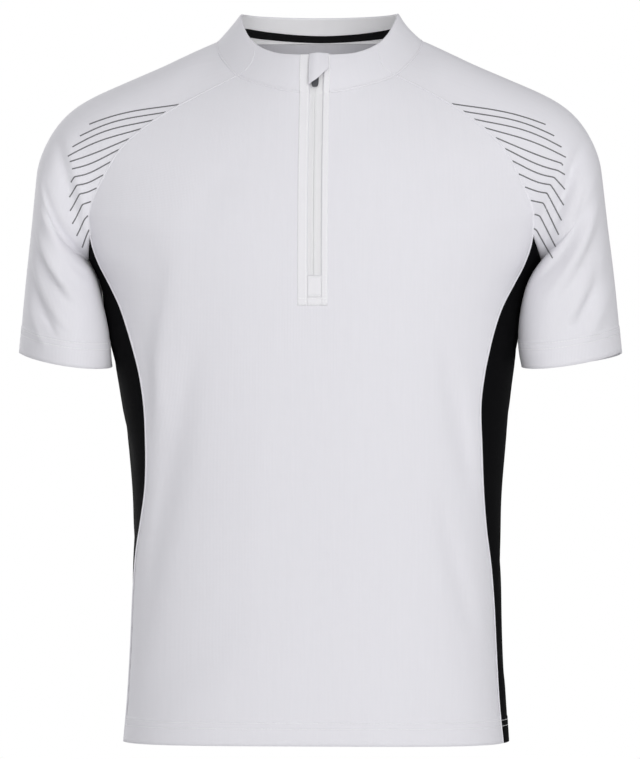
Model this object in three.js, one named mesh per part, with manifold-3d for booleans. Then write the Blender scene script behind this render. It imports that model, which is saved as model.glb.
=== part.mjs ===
// Short-sleeved cycling jersey with raglan sleeves, stand collar and half zip.
// Millimetres. Z is up, the front faces -Y, the wearer's left is +X.
// The origin is the middle of the neck opening at the height of the neck points.
import * as THREE from 'three';
import Module from 'manifold-3d';

// Driving sizes
const panelWall = 1.4;          // wall of a panel
const seamGap = 0.3;            // space between two panels at a seam
const tapeWall = 0.8;           // wall of the zip tapes, placket and neck tape
const layGap = 0.35;            // space under a piece that lies on a panel
const turnedCloth = 0.5;        // how far a turned edge stands out
const neckHalfWidth = 103;      // neck seam, centre to side
const rimHalfWidth = 79;        // collar rim, centre to side
const frontCorner = 50;         // raglan seam on the neck, degrees from the front
const backCorner = 135;         // the same at the back
const fullness = 2.3;           // exponent of the body's rounded sections
const underarmFront = -193.6;   // height where the front raglan seam ends
const underarmDip = 24.4;       // how far the side panel's top edge dips
const zipLine = 0.4;            // x of the zip's centre
const slitRight = -5.5;         // x of the slit's edges
const slitLeft = 8.5;
const placketRight = -15;       // x of the placket's outer edges
const placketLeft = 14.5;
const slitFoot = -235.4;        // height of the slit's lower end
const patchFoot = -256.2;       // height of the end patch's lower edge
const placketFoot = -264.5;     // height of the placket's lower edge

// Body sections, hem to neck: half width, depth in front of and behind the side line
const body = [
  { z: -697, half: 191.5, front: 118, back: 112 },
  { z: -650, half: 188.4, front: 115, back: 108 },
  { z: -593, half: 185, front: 112, back: 102 },
  { z: -530, half: 184, front: 111, back: 97 },
  { z: -461, half: 184, front: 113, back: 97 },
  { z: -413, half: 187.5, front: 116, back: 101 },
  { z: -350, half: 195, front: 120, back: 108 },
  { z: -312, half: 199.4, front: 122.5, back: 113 },
  { z: -270, half: 205, front: 124.5, back: 118 },
  { z: -249, half: 209.5, front: 125, back: 120 },
  { z: -235, half: 215, front: 125.3, back: 121.2 },
  { z: -218, half: 225, front: 125, back: 122 },
  { z: -193.6, half: 236, front: 124, back: 122.5 },
];

// Front and back of the chest on the centre line, underarm to neck
const breast = [
  { r: 0, frontY: -124, frontZ: -193.6, backY: 122.5, backZ: -193.6 },
  { r: 0.3, frontY: -119.5, frontZ: -152, backY: 120.5, backZ: -134 },
  { r: 0.55, frontY: -112, frontZ: -118, backY: 113, backZ: -84.5 },
  { r: 0.8, frontY: -101.5, frontZ: -83.5, backY: 99.5, backZ: -35 },
  { r: 1, frontY: -92, frontZ: -56, backY: 83, backZ: 5 },
];

// Front edge of the side panel: x by height
const sideSeam = [
  { z: -697, x: 189.5 },
  { z: -658, x: 186 },
  { z: -603, x: 183 },
  { z: -557, x: 180.5 },
  { z: -515, x: 176.5 },
  { z: -480, x: 171 },
  { z: -444, x: 167 },
  { z: -400, x: 165.6 },
  { z: -360, x: 166 },
  { z: -330, x: 170.3 },
  { z: -310, x: 175.5 },
  { z: -285, x: 183.2 },
  { z: -263, x: 191.3 },
  { z: -244, x: 201 },
  { z: -224, x: 211.5 },
  { z: -205, x: 218.5 },
  { z: -193.6, x: 220.7 },
];

// Raglan seams, underarm to neck
const raglan = [
  { r: 0, frontX: 220.7, frontY: -53.2, frontZ: -193.6, backX: 220.7, backY: 52.6, backZ: -193.6 },
  { r: 0.1, frontX: 221.4, frontY: -60, frontZ: -172, backX: 220.5, backY: 65, backZ: -171 },
  { r: 0.29, frontX: 204.9, frontY: -68.5, frontZ: -132.5, backX: 206, backY: 75, backZ: -133 },
  { r: 0.415, frontX: 190.2, frontY: -70, frontZ: -108, backX: 189, backY: 77.5, backZ: -105 },
  { r: 0.53, frontX: 170.5, frontY: -69, frontZ: -89.2, backX: 171, backY: 78, backZ: -80 },
  { r: 0.655, frontX: 147.7, frontY: -66.5, frontZ: -73, backX: 147, backY: 76.5, backZ: -54.5 },
  { r: 0.79, frontX: 120.5, frontY: -63, frontZ: -57.5, backX: 118, backY: 72, backZ: -28 },
  { r: 1, frontX: 78.9, frontY: -59.2, frontZ: -35.8, backX: 72.8, backY: 59, backZ: 4 },
];

// Neck seam and collar rim by turn from the front, degrees
const neck = [
  { turn: 0, seamY: -92, seamZ: -56, rimY: -80, rimZ: -17 },
  { turn: 15, seamY: -88.4, seamZ: -53.7, rimY: -77, rimZ: -16.6 },
  { turn: 30, seamY: -78, seamZ: -47.2, rimY: -68.5, rimZ: -14.3 },
  { turn: 50, seamY: -59.2, seamZ: -35.8, rimY: -51, rimZ: -4.6 },
  { turn: 61, seamY: -44.6, seamZ: -25, rimY: -38.5, rimZ: 4.5 },
  { turn: 75, seamY: -23.5, seamZ: -12, rimY: -20, rimZ: 18.5 },
  { turn: 90, seamY: 0, seamZ: 0, rimY: 0, rimZ: 28.2 },
  { turn: 105, seamY: 23.5, seamZ: 4, rimY: 19, rimZ: 30 },
  { turn: 120, seamY: 43, seamZ: 4.8, rimY: 36, rimZ: 30 },
  { turn: 135, seamY: 59, seamZ: 4, rimY: 50, rimZ: 30 },
  { turn: 150, seamY: 71.5, seamZ: 4.5, rimY: 61, rimZ: 30 },
  { turn: 165, seamY: 80, seamZ: 5, rimY: 68, rimZ: 30 },
  { turn: 180, seamY: 83, seamZ: 5, rimY: 70.5, rimZ: 30 },
];

// Shoulder and outer line of the sleeve by station: 0 neck, 1 raglan end, 2 gusset point, 3 cuff
const shoulder = [
  { s: 0, x: 103, y: 0, z: 0 },
  { s: 0.15, x: 121, y: 0.5, z: -6.5 },
  { s: 0.35, x: 156, y: 1, z: -23 },
  { s: 0.55, x: 196, y: 1, z: -40 },
  { s: 0.72, x: 229, y: 0, z: -54 },
  { s: 0.84, x: 251, y: -2, z: -67 },
  { s: 0.93, x: 267, y: -4, z: -84.5 },
  { s: 1, x: 275, y: -5, z: -101.5 },
  { s: 1.5, x: 281.5, y: -7, z: -128 },
  { s: 2, x: 285.5, y: -8, z: -155 },
  { s: 2.33, x: 290.5, y: -9, z: -205 },
  { s: 2.66, x: 295.5, y: -9, z: -254 },
  { s: 3, x: 300.5, y: -8, z: -309 },
];

// Inner line of the sleeve, gusset point to cuff
const inseam = [
  { s: 2, x: 225, y: 0, z: -218 },
  { s: 2.15, x: 220.6, y: -3, z: -234 },
  { s: 2.33, x: 214.6, y: -6, z: -254 },
  { s: 2.66, x: 207.6, y: -9, z: -288 },
  { s: 3, x: 204.6, y: -10, z: -322 },
];

// Fullness of the sleeve: depth in front and behind, how far the section is a closed tube,
// how far it leaves its edge outwards, and how much its front leans in
const armTube = [
  { s: 0, front: 60, back: 60, tube: 0, out: 0, slant: 0 },
  { s: 0.5, front: 64, back: 64, tube: 0.03, out: 0, slant: 0 },
  { s: 0.75, front: 66, back: 68, tube: 0.16, out: 20, slant: 0 },
  { s: 1, front: 66, back: 69, tube: 0.45, out: 80, slant: 0 },
  { s: 1.33, front: 66, back: 69, tube: 0.68, out: 100, slant: 0 },
  { s: 1.67, front: 66, back: 69, tube: 0.87, out: 70, slant: 0 },
  { s: 2, front: 66, back: 68, tube: 1, out: 0, slant: 0 },
  { s: 2.5, front: 61, back: 62, tube: 1, out: 0, slant: 0.1 },
  { s: 3, front: 58, back: 60, tube: 1, out: 0, slant: 0.16 },
];

// The largest folds, as lines in the front view: ends, half width across and depth (+ is a ridge)
const bodyFolds = [
  { x0: -112, z0: -290, x1: -176, z1: -600, wide: 15, deep: -4 },
  { x0: -142, z0: -270, x1: -172, z1: -440, wide: 11, deep: 2.6 },
  { x0: 128, z0: -294, x1: 160, z1: -460, wide: 13, deep: -3.4 },
  { x0: 122, z0: -440, x1: 164, z1: -610, wide: 11, deep: -2.6 },
];
const sleeveFolds = [
  { x0: 246, z0: -104, x1: 229, z1: -180, wide: 13, deep: -7 },
  { x0: 278, z0: -140, x1: 226, z1: -240, wide: 9, deep: -4 },
  { x0: 288, z0: -180, x1: 240, z1: -262, wide: 9, deep: 3.5 },
  { x0: 283, z0: -215, x1: 258, z1: -290, wide: 8, deep: -3 },
];

// Reads a column of a table at a key by a cubic through the rows.
function read(rows, key, column, at) {
  let i = 0;
  while (i < rows.length - 2 && at > rows[i + 1][key]) i += 1;
  const chord = (k) => {
    const m = Math.min(Math.max(k, 0), rows.length - 2);
    return (rows[m + 1][column] - rows[m][column]) / (rows[m + 1][key] - rows[m][key]);
  };
  const width = rows[i + 1][key] - rows[i][key];
  const t = Math.min(Math.max((at - rows[i][key]) / width, 0), 1);
  const slope0 = (chord(i - 1) + chord(i)) / 2;
  const slope1 = (chord(i) + chord(i + 1)) / 2;
  const a = rows[i][column];
  const b = rows[i + 1][column];
  const t2 = t * t;
  const t3 = t2 * t;
  return a * (2 * t3 - 3 * t2 + 1) + b * (3 * t2 - 2 * t3)
    + width * (slope0 * (t3 - 2 * t2 + t) + slope1 * (t3 - t2));
}

function ease(t) {
  const c = Math.min(Math.max(t, 0), 1);
  return c * c * (3 - 2 * c);
}

const radians = Math.PI / 180;
const vec = (x, y, z) => new THREE.Vector3(x, y, z);

// Neck seam (rise 0) to collar rim (rise 1), bowed out a little.
function collarPoint(turn, rise) {
  const half = neckHalfWidth + (rimHalfWidth - neckHalfWidth) * rise;
  const across = Math.min(Math.abs(turn), 360 - Math.abs(turn));
  const bow = 3 * Math.sin(Math.PI * rise);
  const y = read(neck, 'turn', 'seamY', across) * (1 - rise) + read(neck, 'turn', 'rimY', across) * rise;
  const z = read(neck, 'turn', 'seamZ', across) * (1 - rise) + read(neck, 'turn', 'rimZ', across) * rise;
  const outX = Math.sin(turn * radians);
  const outY = -Math.cos(turn * radians);
  return vec(half * outX + bow * outX, y + bow * outY, z);
}

// Turn on the collar at a distance x from the centre line.
function turnAt(x, rise) {
  const half = neckHalfWidth + (rimHalfWidth - neckHalfWidth) * rise;
  return Math.asin(x / half) / radians;
}

// y of a rounded section: depth at the centre, half width where y is 0.
function sectionY(x, half, depth) {
  const s = Math.min(Math.abs(x) / half, 1);
  return depth * Math.pow(1 - Math.pow(s, fullness), 1 / fullness);
}

// How far the garment's sides hang to the wearer's right.
function lean(z) {
  return -4 * ease((-40 - z) / 120);
}

// Depth of the listed folds at a place of the front view.
function foldDepth(folds, x, z) {
  let sum = 0;
  for (const fold of folds) {
    const dx = fold.x1 - fold.x0;
    const dz = fold.z1 - fold.z0;
    const long = Math.hypot(dx, dz);
    const along = ((x - fold.x0) * dx + (z - fold.z0) * dz) / (long * long);
    const off = ((x - fold.x0) * dz - (z - fold.z0) * dx) / long;
    if (along <= 0 || along >= 1) continue;
    const taper = Math.sin(Math.PI * along);
    const across = off / (fold.wide * (0.6 + 0.4 * taper));
    sum += fold.deep * taper * Math.exp(-across * across);
  }
  return sum;
}

// How much of a raglan row has turned into the neck seam.
function nearNeck(r) {
  return ease((r - 0.72) / 0.28);
}

// Seam line at the side of the front (facing -1) or back (facing 1).
// Level 0 to 1 runs from hem to underarm, 1 to 2 along the raglan seam.
function bodyEdge(level, facing) {
  const column = facing < 0 ? 'front' : 'back';
  if (level <= 1) {
    const z = body[0].z + (underarmFront - body[0].z) * level;
    const x = read(sideSeam, 'z', 'x', z);
    const depth = read(body, 'z', column, z);
    return vec(x, facing * sectionY(x, read(body, 'z', 'half', z), depth), z);
  }
  const at = (axis) => read(raglan, 'r', `${column}${axis}`, level - 1);
  return vec(at('X'), at('Y'), at('Z'));
}

// Row of the front or back across its two seams, as a share s of the way from the centre line.
function bodyRow(s, level, facing) {
  const edge = bodyEdge(level, facing);
  const column = facing < 0 ? 'front' : 'back';
  const middle = vec(0, facing * read(body, 'z', column, edge.z), edge.z);
  if (level <= 1 && facing < 0) middle.z += 3 * (1 - ease(level / 0.15));
  if (level > 1) {
    middle.y = read(breast, 'r', `${column}Y`, level - 1);
    middle.z = read(breast, 'r', `${column}Z`, level - 1);
  }
  const reach = Math.abs(edge.y / middle.y);
  const half = edge.x / Math.pow(1 - Math.pow(reach, fullness), 1 / fullness);
  const round = facing * sectionY(edge.x * s, half, Math.abs(middle.y));
  const shallow = middle.y + (edge.y - middle.y) * s * s;
  const upper = ease((level - 1) / 0.4);
  return vec(edge.x * s, round * (1 - upper) + shallow * upper, middle.z + (edge.z - middle.z) * s * s);
}

// Point of the front or back at a signed distance x from the centre line.
function bodyPoint(x, level, facing) {
  const edge = bodyEdge(level, facing);
  const s = Math.min(Math.abs(x) / edge.x, 1);
  const point = bodyRow(s, level, facing);
  const atNeck = nearNeck(level - 1);
  if (atNeck > 0) {
    const corner = facing < 0 ? frontCorner : 180 - backCorner;
    const turn = Math.asin(s * Math.sin(corner * radians)) / radians;
    const seam = collarPoint(facing < 0 ? turn : 180 - turn, 0);
    if (atNeck >= 1) return vec(Math.sign(x) * seam.x, seam.y, seam.z);
    const top = bodyRow(s, 2, facing);
    point.y += (seam.y - top.y) * atNeck;
    point.z += (seam.z - top.z) * atNeck;
  }
  const fold = facing < 0 ? foldDepth(bodyFolds, x, point.z) : 0.8 * foldDepth(bodyFolds, -x, point.z);
  point.y += facing * fold * ease((1 - s) / 0.12);
  point.x = x + lean(point.z) * Math.pow(s, 1.5) * (1 - atNeck);
  return point;
}

// Side panel: across is -1 at the front seam and 1 at the back seam; side 1 is the wearer's left.
function sidePoint(across, level, side) {
  const column = across < 0 ? 'front' : 'back';
  const edge = bodyEdge(level, across < 0 ? -1 : 1);
  const share = Math.abs(edge.y) / read(body, 'z', column, edge.z);
  const angle = Math.abs(across) * Math.asin(Math.pow(share, fullness / 2));
  const dip = underarmDip * ease((level - 0.86) / 0.14);
  const z = edge.z - dip * (1 - across * across);
  const x = read(body, 'z', 'half', z) * Math.pow(Math.cos(angle), 2 / fullness);
  const y = read(body, 'z', column, z) * Math.pow(Math.sin(angle), 2 / fullness);
  return vec(side * x + lean(z), Math.sign(across) * y, z);
}

// Edge of the sleeve: on the raglan seam, then the side panel's top edge, then the inseam.
function sleeveEdge(station, facing, side) {
  if (station <= 1) {
    const level = 2 - station;
    return bodyPoint(side * bodyEdge(level, facing).x, level, facing);
  }
  if (station <= 2) return sidePoint(facing * (2 - station), 1, side);
  const keep = 1 - 0.5 * ease(station - 2);
  const at = (axis) => read(inseam, 's', axis, station);
  return vec(side * at('x') + lean(-218) * keep, at('y'), at('z'));
}

// Sleeve before it is fitted to the neck: each half is one cubic arc from its edge to the shoulder line.
function sleeveArc(across, station, side) {
  const facing = across < 0 ? -1 : 1;
  const edge = sleeveEdge(station, facing, side);
  const at = (axis) => read(shoulder, 's', axis, station);
  const top = vec(side * at('x'), at('y'), at('z'));
  const tube = read(armTube, 's', 'tube', station);
  const depth = 4 * tube * read(armTube, 's', facing < 0 ? 'front' : 'back', station);
  const quarter = 1.657 * (1 - tube);
  const slant = read(armTube, 's', 'slant', station);
  const start = vec(quarter * (top.x - edge.x), 0, quarter * (top.z - edge.z));
  if (station < 1) {
    const level = 2 - station;
    const reach = side * bodyEdge(level, facing).x;
    const along = bodyPoint(side * bodyEdge(level - 0.02, facing).x, level - 0.02, facing).sub(edge);
    const outward = edge.clone().sub(bodyPoint(0.95 * reach, level, facing));
    const normal = along.cross(outward).normalize();
    start.addScaledVector(normal, -start.dot(normal) * ease((1 - station) / 0.5));
  }
  start.y += facing * depth;
  start.x += side * (facing * depth * slant + read(armTube, 's', 'out', station));
  const finish = vec(-side * facing * depth * slant, 0, 0);
  finish.y = -facing * (quarter * Math.abs(top.y - edge.y) + depth);
  const t = 1 - Math.abs(across);
  const point = edge.multiplyScalar(t * t * (2 * t - 3) + 1);
  point.addScaledVector(top, t * t * (3 - 2 * t));
  point.addScaledVector(start, t * (t - 1) * (t - 1));
  point.addScaledVector(finish, t * t * (t - 1));
  return point;
}

// Sleeve: station 0 at the neck to 3 at the cuff; across is -1 at the front edge, 1 at the back edge.
function sleevePoint(across, station, side) {
  const point = sleeveArc(across, station, side);
  const atNeck = 1 - ease(station / 0.3);
  if (atNeck > 0) {
    const turn = 90 + (across < 0 ? 90 - frontCorner : backCorner - 90) * across;
    const seam = collarPoint(side * turn, 0);
    if (atNeck >= 1) return seam;
    point.addScaledVector(seam.sub(sleeveArc(across, 0, side)), atNeck);
  }
  const t = 1 - Math.abs(across);
  const facing = across < 0 ? -1 : 1;
  point.z -= (across < 0 ? 8 : 4) * ease((station - 2.3) / 0.7) * Math.sin(Math.PI * t);
  const fold = foldDepth(sleeveFolds, Math.abs(point.x), point.z) * (across < 0 ? 1 : 0.7);
  point.y += facing * fold * ease(t / 0.12) * ease((1 - t) / 0.3);
  return point;
}

// Rows and columns that the pieces share, so that their edges meet point to point
const bodyHeights = [-697, -676, -674.5, -645, -613, -581, -549, -517, -485, -453, -421, -390, -360, -333,
  -308, -285, -264.5, -256.2, -235.4, -214, -193.6];
const raglanSteps = [0.1, 0.19, 0.28, 0.35, 0.415, 0.475, 0.53, 0.59, 0.655, 0.72, 0.79, 0.86, 0.93, 1];
const tubeStations = [2.12, 2.25, 2.38, 2.51, 2.64, 2.785, 2.8, 2.9, 3];
const collarRises = [0, 0.17, 0.34, 0.5, 0.75, 1];
const frontShares = [0.16, 0.32, 0.48, 0.63, 0.77, 0.89, 1];
const backShares = [0.14, 0.28, 0.42, 0.56, 0.7, 0.82, 0.92, 1];
const sideShares = [-1, -2 / 3, -1 / 3, 0, 1 / 3, 2 / 3, 1];
const sleeveShares = [-1, -0.94, -0.86, -0.76, -0.66, -0.55, -0.44, -0.32, -0.2, -0.1, 0,
  0.1, 0.21, 0.33, 0.46, 0.58, 0.7, 0.81, 0.91, 1];

const levelOf = (z) => (z - body[0].z) / (underarmFront - body[0].z);
const levels = [...bodyHeights.map(levelOf), ...raglanSteps.map((r) => 1 + r)];

function grid(rows, columns, place) {
  return rows.map((row) => columns.map((column) => place(column, row)));
}

// x of the front's columns at a level: the slit and placket keep their width, the rest is shared out.
function frontColumns(level) {
  const edge = bodyEdge(level, -1).x;
  const right = frontShares.map((f) => placketRight - (edge + placketRight) * f).reverse();
  const left = frontShares.map((f) => placketLeft + (edge - placketLeft) * f);
  return [...right, placketRight, slitRight, 1.5, slitLeft, placketLeft, ...left];
}

const frontGrid = levels.map((level) => frontColumns(level).map((x) => bodyPoint(x, level, -1)));
const backSpread = [...backShares.map((f) => -f).reverse(), 0, ...backShares].reverse();
const backGrid = grid(levels, backSpread, (f, level) => bodyPoint(f * bodyEdge(level, 1).x, level, 1));
const sideLevels = bodyHeights.map(levelOf);
const stations = [...tubeStations].reverse().concat([2, 5 / 3, 4 / 3, 1], raglanSteps.map((r) => 1 - r));

function sideGrid(side) {
  const order = side > 0 ? sideShares : [...sideShares].reverse();
  return grid(sideLevels, order, (across, level) => sidePoint(across, level, side));
}

function sleeveGrid(side) {
  const order = side > 0 ? sleeveShares : [...sleeveShares].reverse();
  return grid(stations, order, (across, station) => sleevePoint(across, Math.max(station, 0), side));
}

const slitColumn = frontShares.length + 1;

// Columns of a collar section, each given by its turn as a function of the rise.
function collarGrid(turns) {
  return grid(collarRises, turns, (turn, rise) => collarPoint(turn(rise), rise));
}

const frontTurns = frontGrid[frontGrid.length - 1].map((point) => turnAt(point.x, 0));
const steady = (turn) => () => turn;
const upright = (x) => (rise) => turnAt(x, rise);
const sleeveTurns = sleeveShares.map((f) => 90 + (f < 0 ? 90 - frontCorner : backCorner - 90) * f);
const backTurns = backShares.map((f) => 180 - Math.asin(f * Math.sin((180 - backCorner) * radians)) / radians);
const collarGrids = {
  right: collarGrid([
    ...frontTurns.slice(0, slitColumn - 1).map(steady),
    upright(placketRight),
    upright(slitRight),
  ]),
  left: collarGrid([
    upright(slitLeft),
    upright(placketLeft),
    ...frontTurns.slice(slitColumn + 4).map(steady),
  ]),
  back: collarGrid([
    ...sleeveTurns,
    ...backTurns.slice(0, -1).reverse(),
    180,
    ...backTurns.slice(0, -1).map((turn) => 360 - turn),
    ...[...sleeveTurns].reverse().map((turn) => 360 - turn),
  ].map((turn) => steady(turn > 180 ? turn - 360 : turn))),
};

// Cloth as quads on shared points. keep says which squares of the grid are cloth.
const keyOf = (p) => `${Math.round(p.x * 200)},${Math.round(p.y * 200)},${Math.round(p.z * 200)}`;

function clothOf(points, keep = () => true) {
  const cloth = { points: [], rows: [], columns: [], faces: [] };
  const known = new Map();
  const place = (j, i) => {
    const key = keyOf(points[j][i]);
    if (!known.has(key)) {
      known.set(key, cloth.points.length);
      cloth.points.push(points[j][i]);
      cloth.rows.push(j);
      cloth.columns.push(i);
    }
    return known.get(key);
  };
  for (let j = 0; j + 1 < points.length; j += 1) {
    for (let i = 0; i + 1 < points[j].length; i += 1) {
      if (!keep(j, i)) continue;
      const [a, b, c, d] = [place(j, i), place(j, i + 1), place(j + 1, i + 1), place(j + 1, i)];
      if (a !== b && b !== c && a !== c) cloth.faces.push([a, b, c]);
      if (a !== c && c !== d && a !== d) cloth.faces.push([a, c, d]);
    }
  }
  return cloth;
}

// Several cloths as one, joined where their points meet.
function joined(cloths) {
  const whole = { points: [], rows: [], columns: [], faces: [] };
  const known = new Map();
  for (const cloth of cloths) {
    const moved = cloth.points.map((p, k) => {
      const key = keyOf(p);
      if (!known.has(key)) {
        known.set(key, whole.points.length);
        whole.points.push(p);
        whole.rows.push(cloth.rows[k]);
        whole.columns.push(cloth.columns[k]);
      }
      return known.get(key);
    });
    for (const face of cloth.faces) whole.faces.push(face.map((k) => moved[k]));
  }
  return whole;
}

// Sum of the facing directions at every point, over all the cloth given.
function normalsOf(cloths) {
  const book = new Map();
  for (const cloth of cloths) {
    for (const face of cloth.faces) {
      const [a, b, c] = face.map((k) => cloth.points[k]);
      const direction = b.clone().sub(a).cross(c.clone().sub(a));
      for (const p of [a, b, c]) {
        const key = keyOf(p);
        if (!book.has(key)) book.set(key, vec(0, 0, 0));
        book.get(key).add(direction);
      }
    }
  }
  return (p) => book.get(keyOf(p)).clone().normalize();
}

// Solid wall on cloth: its faces stand off by outer and inner, and every edge is drawn in.
function wallOn(cloth, normalAt, outer, inner) {
  const normals = cloth.points.map(normalAt);
  const edges = new Map();
  for (const [a, b, c] of cloth.faces) {
    for (const [p, q] of [[a, b], [b, c], [c, a]]) edges.set(`${p},${q}`, [p, q]);
  }
  const rim = [...edges.values()].filter(([p, q]) => !edges.has(`${q},${p}`));
  const pulls = cloth.points.map(() => []);
  for (const [p, q] of rim) {
    const run = cloth.points[q].clone().sub(cloth.points[p]);
    for (const k of [p, q]) pulls[k].push(normals[k].clone().cross(run).normalize());
  }
  const drawn = pulls.map((list) => {
    if (list.length === 0) return vec(0, 0, 0);
    const sum = list.reduce((total, pull) => total.add(pull), vec(0, 0, 0)).normalize();
    const share = Math.max(sum.dot(list[0]), 0.5);
    return sum.multiplyScalar(seamGap / 2 / share);
  });
  const corner = [outer, inner].flatMap((offset) => cloth.points.map((p, k) => {
    const place = p.clone().add(drawn[k]);
    return place.addScaledVector(normals[k], offset(cloth.rows[k], cloth.columns[k]));
  }));
  const n = cloth.points.length;
  const faces = [];
  for (const [a, b, c] of cloth.faces) faces.push([a, b, c], [n + a, n + c, n + b]);
  for (const [p, q] of rim) faces.push([p, n + p, n + q], [p, n + q, q]);
  return solidOf(corner, faces);
}

function solidOf(points, faces) {
  const geometry = new THREE.BufferGeometry();
  const flat = faces.flatMap((face) => face.flatMap((k) => [points[k].x, points[k].y, points[k].z]));
  geometry.setAttribute('position', new THREE.Float32BufferAttribute(flat, 3));
  geometry.computeVertexNormals();
  return geometry;
}

const colours = {
  white: new THREE.MeshStandardMaterial({ color: 0xe6e8ea, roughness: 0.85 }),
  black: new THREE.MeshStandardMaterial({ color: 0x17181a, roughness: 0.85 }),
  grey: new THREE.MeshStandardMaterial({ color: 0x4a4c50, roughness: 0.45 }),
};
const jersey = new THREE.Group();
jersey.name = 'cycling_jersey';

function add(name, geometry, colour) {
  const mesh = new THREE.Mesh(geometry, colours[colour]);
  mesh.name = name;
  jersey.add(mesh);
}

// Panels
const slitRow = bodyHeights.indexOf(slitFoot);
const isSlit = (j, i) => j >= slitRow && (i === slitColumn || i === slitColumn + 1);
const panels = {
  front: clothOf(frontGrid, (j, i) => !isSlit(j, i)),
  back: clothOf(backGrid),
  side_panel_right: clothOf(sideGrid(-1)),
  side_panel_left: clothOf(sideGrid(1)),
  sleeve_right: clothOf(sleeveGrid(-1)),
  sleeve_left: clothOf(sleeveGrid(1)),
  collar_front_right: clothOf(collarGrids.right),
  collar_front_left: clothOf(collarGrids.left),
  collar_back: clothOf(collarGrids.back),
};
const turnedRows = { front: 2, back: 2, side_panel_right: 2, side_panel_left: 2, sleeve_right: 3, sleeve_left: 3 };
const panelNormal = normalsOf(Object.values(panels));
for (const [name, panel] of Object.entries(panels)) {
  const turned = turnedRows[name] ?? 0;
  const outer = (row) => (row < turned ? turnedCloth : 0);
  add(name, wallOn(panel, panelNormal, outer, () => -panelWall), name.startsWith('side') ? 'black' : 'white');
}

// Placket: a band each side of the slit, up the collar, joined by a bar below the slit
const barRow = bodyHeights.indexOf(placketFoot);
const bandRows = (collarPart, first) => [
  ...frontGrid.slice(barRow).map((row) => row.slice(first, first + 2)),
  ...collarPart.slice(1).map((row) => (first < slitColumn ? row.slice(-2) : row.slice(0, 2))),
];
const bar = frontGrid.slice(barRow, barRow + 2).map((row) => row.slice(slitColumn, slitColumn + 3));
const placket = joined([
  clothOf(bandRows(collarGrids.right, slitColumn - 1)),
  clothOf(bar),
  clothOf(bandRows(collarGrids.left, slitColumn + 2)),
]);
const laid = () => layGap + tapeWall;
add('zip_placket', wallOn(placket, panelNormal, laid, () => layGap), 'white');

// End patch between the bar and the slit
const patch = clothOf(frontGrid.slice(barRow + 1, barRow + 3).map((row) => row.slice(slitColumn, slitColumn + 3)));
add('zip_end_patch', wallOn(patch, panelNormal, laid, () => layGap), 'white');

// Zip tapes behind the slit; above the slider their inner edges stand apart
function tapePoint(x, row) {
  return row.rise === undefined ? bodyPoint(x, row.level, -1) : collarPoint(turnAt(x, row.rise), row.rise);
}
const tapeRows = [
  { level: levelOf(slitFoot - 9) },
  ...levels.slice(slitRow).map((level) => ({ level })),
  ...collarRises.slice(1, -1).map((rise) => ({ rise })),
  { rise: 0.97 },
];
function tape(side) {
  const outerEdge = side < 0 ? slitRight - 5 : slitLeft + 4.5;
  const points = tapeRows.map((row) => {
    const parted = row.rise >= 0.5 ? 2.2 : 0.1;
    const inner = zipLine + side * parted;
    const list = [inner, (inner + outerEdge) / 2, outerEdge].map((x) => tapePoint(x, row));
    return side < 0 ? list.reverse() : list;
  });
  return clothOf(points);
}
const behind = -panelWall - layGap;
for (const [name, side] of [['zip_tape_right', -1], ['zip_tape_left', 1]]) {
  const whole = clothOf(tapeRows.map((row) => [-1, 0, 1].map((k) => tapePoint(zipLine + 5 * k, row))));
  const normals = normalsOf([whole]);
  const level = (p) => nearest(whole.points, p);
  add(name, wallOn(tape(side), (p) => normals(level(p)), () => behind, () => behind - tapeWall), 'white');
}

function nearest(points, p) {
  return points.reduce((best, q) => (q.distanceToSquared(p) < best.distanceToSquared(p) ? q : best));
}

// Garage: a flap over the top of the zip, cut slanting at its lower edge
const garageColumns = [
  { x: -4.9, foot: 0.2, lift: 2.5 },
  { x: 0.5, foot: 0.32, lift: 2.9 },
  { x: 7, foot: 0.46, lift: 2.5 },
  { x: 14.3, foot: 0.62, lift: 1.6 },
];
const garageRows = [0, 0.34, 0.67, 1].map((k) => garageColumns.map(({ x, foot }) => {
  const rise = foot + (1 - foot) * k;
  return collarPoint(turnAt(x, rise), rise);
}));
const garage = clothOf(garageRows);
const garageLift = (row, column) => garageColumns[column].lift + (3 - row) * 0.7;
const garageOuter = (row, column) => garageLift(row, column) + tapeWall;
add('zip_garage', wallOn(garage, normalsOf([garage]), garageOuter, garageLift), 'white');

// Neck tape on the inside of the collar's foot, across the back
const tapeTurns = [
  ...sleeveTurns.slice(9),
  ...backTurns.slice(0, -1).reverse(),
  180,
  ...backTurns.slice(0, -1).map((turn) => 360 - turn),
  ...sleeveTurns.slice(9).reverse().map((turn) => 360 - turn),
];
const neckTape = clothOf(grid([0.06, 0.17, 0.33], tapeTurns, (turn, rise) => collarPoint(turn, rise)));
const inside = -panelWall - layGap;
add('neck_tape', wallOn(neckTape, normalsOf([neckTape]), () => inside, () => inside - tapeWall), 'black');

// Slider: two plates and a post between the tapes, with a bridge that carries the pull
const solids = await Module();
solids.setup();
const { Manifold } = solids;

const below = collarPoint(0, collarRises[3]);
const above = collarPoint(0, collarRises[4]);
const seat = below.clone().add(above).multiplyScalar(0.5);
const tilt = Math.atan2(above.y - below.y, above.z - below.z);

// Box by its limits: x across, out from the collar's face, up along the zip.
function block(x0, x1, out0, out1, up0, up1) {
  const box = Manifold.cube([x1 - x0, out1 - out0, up1 - up0]);
  return box.translate([x0, -out1, up0]);
}

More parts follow.
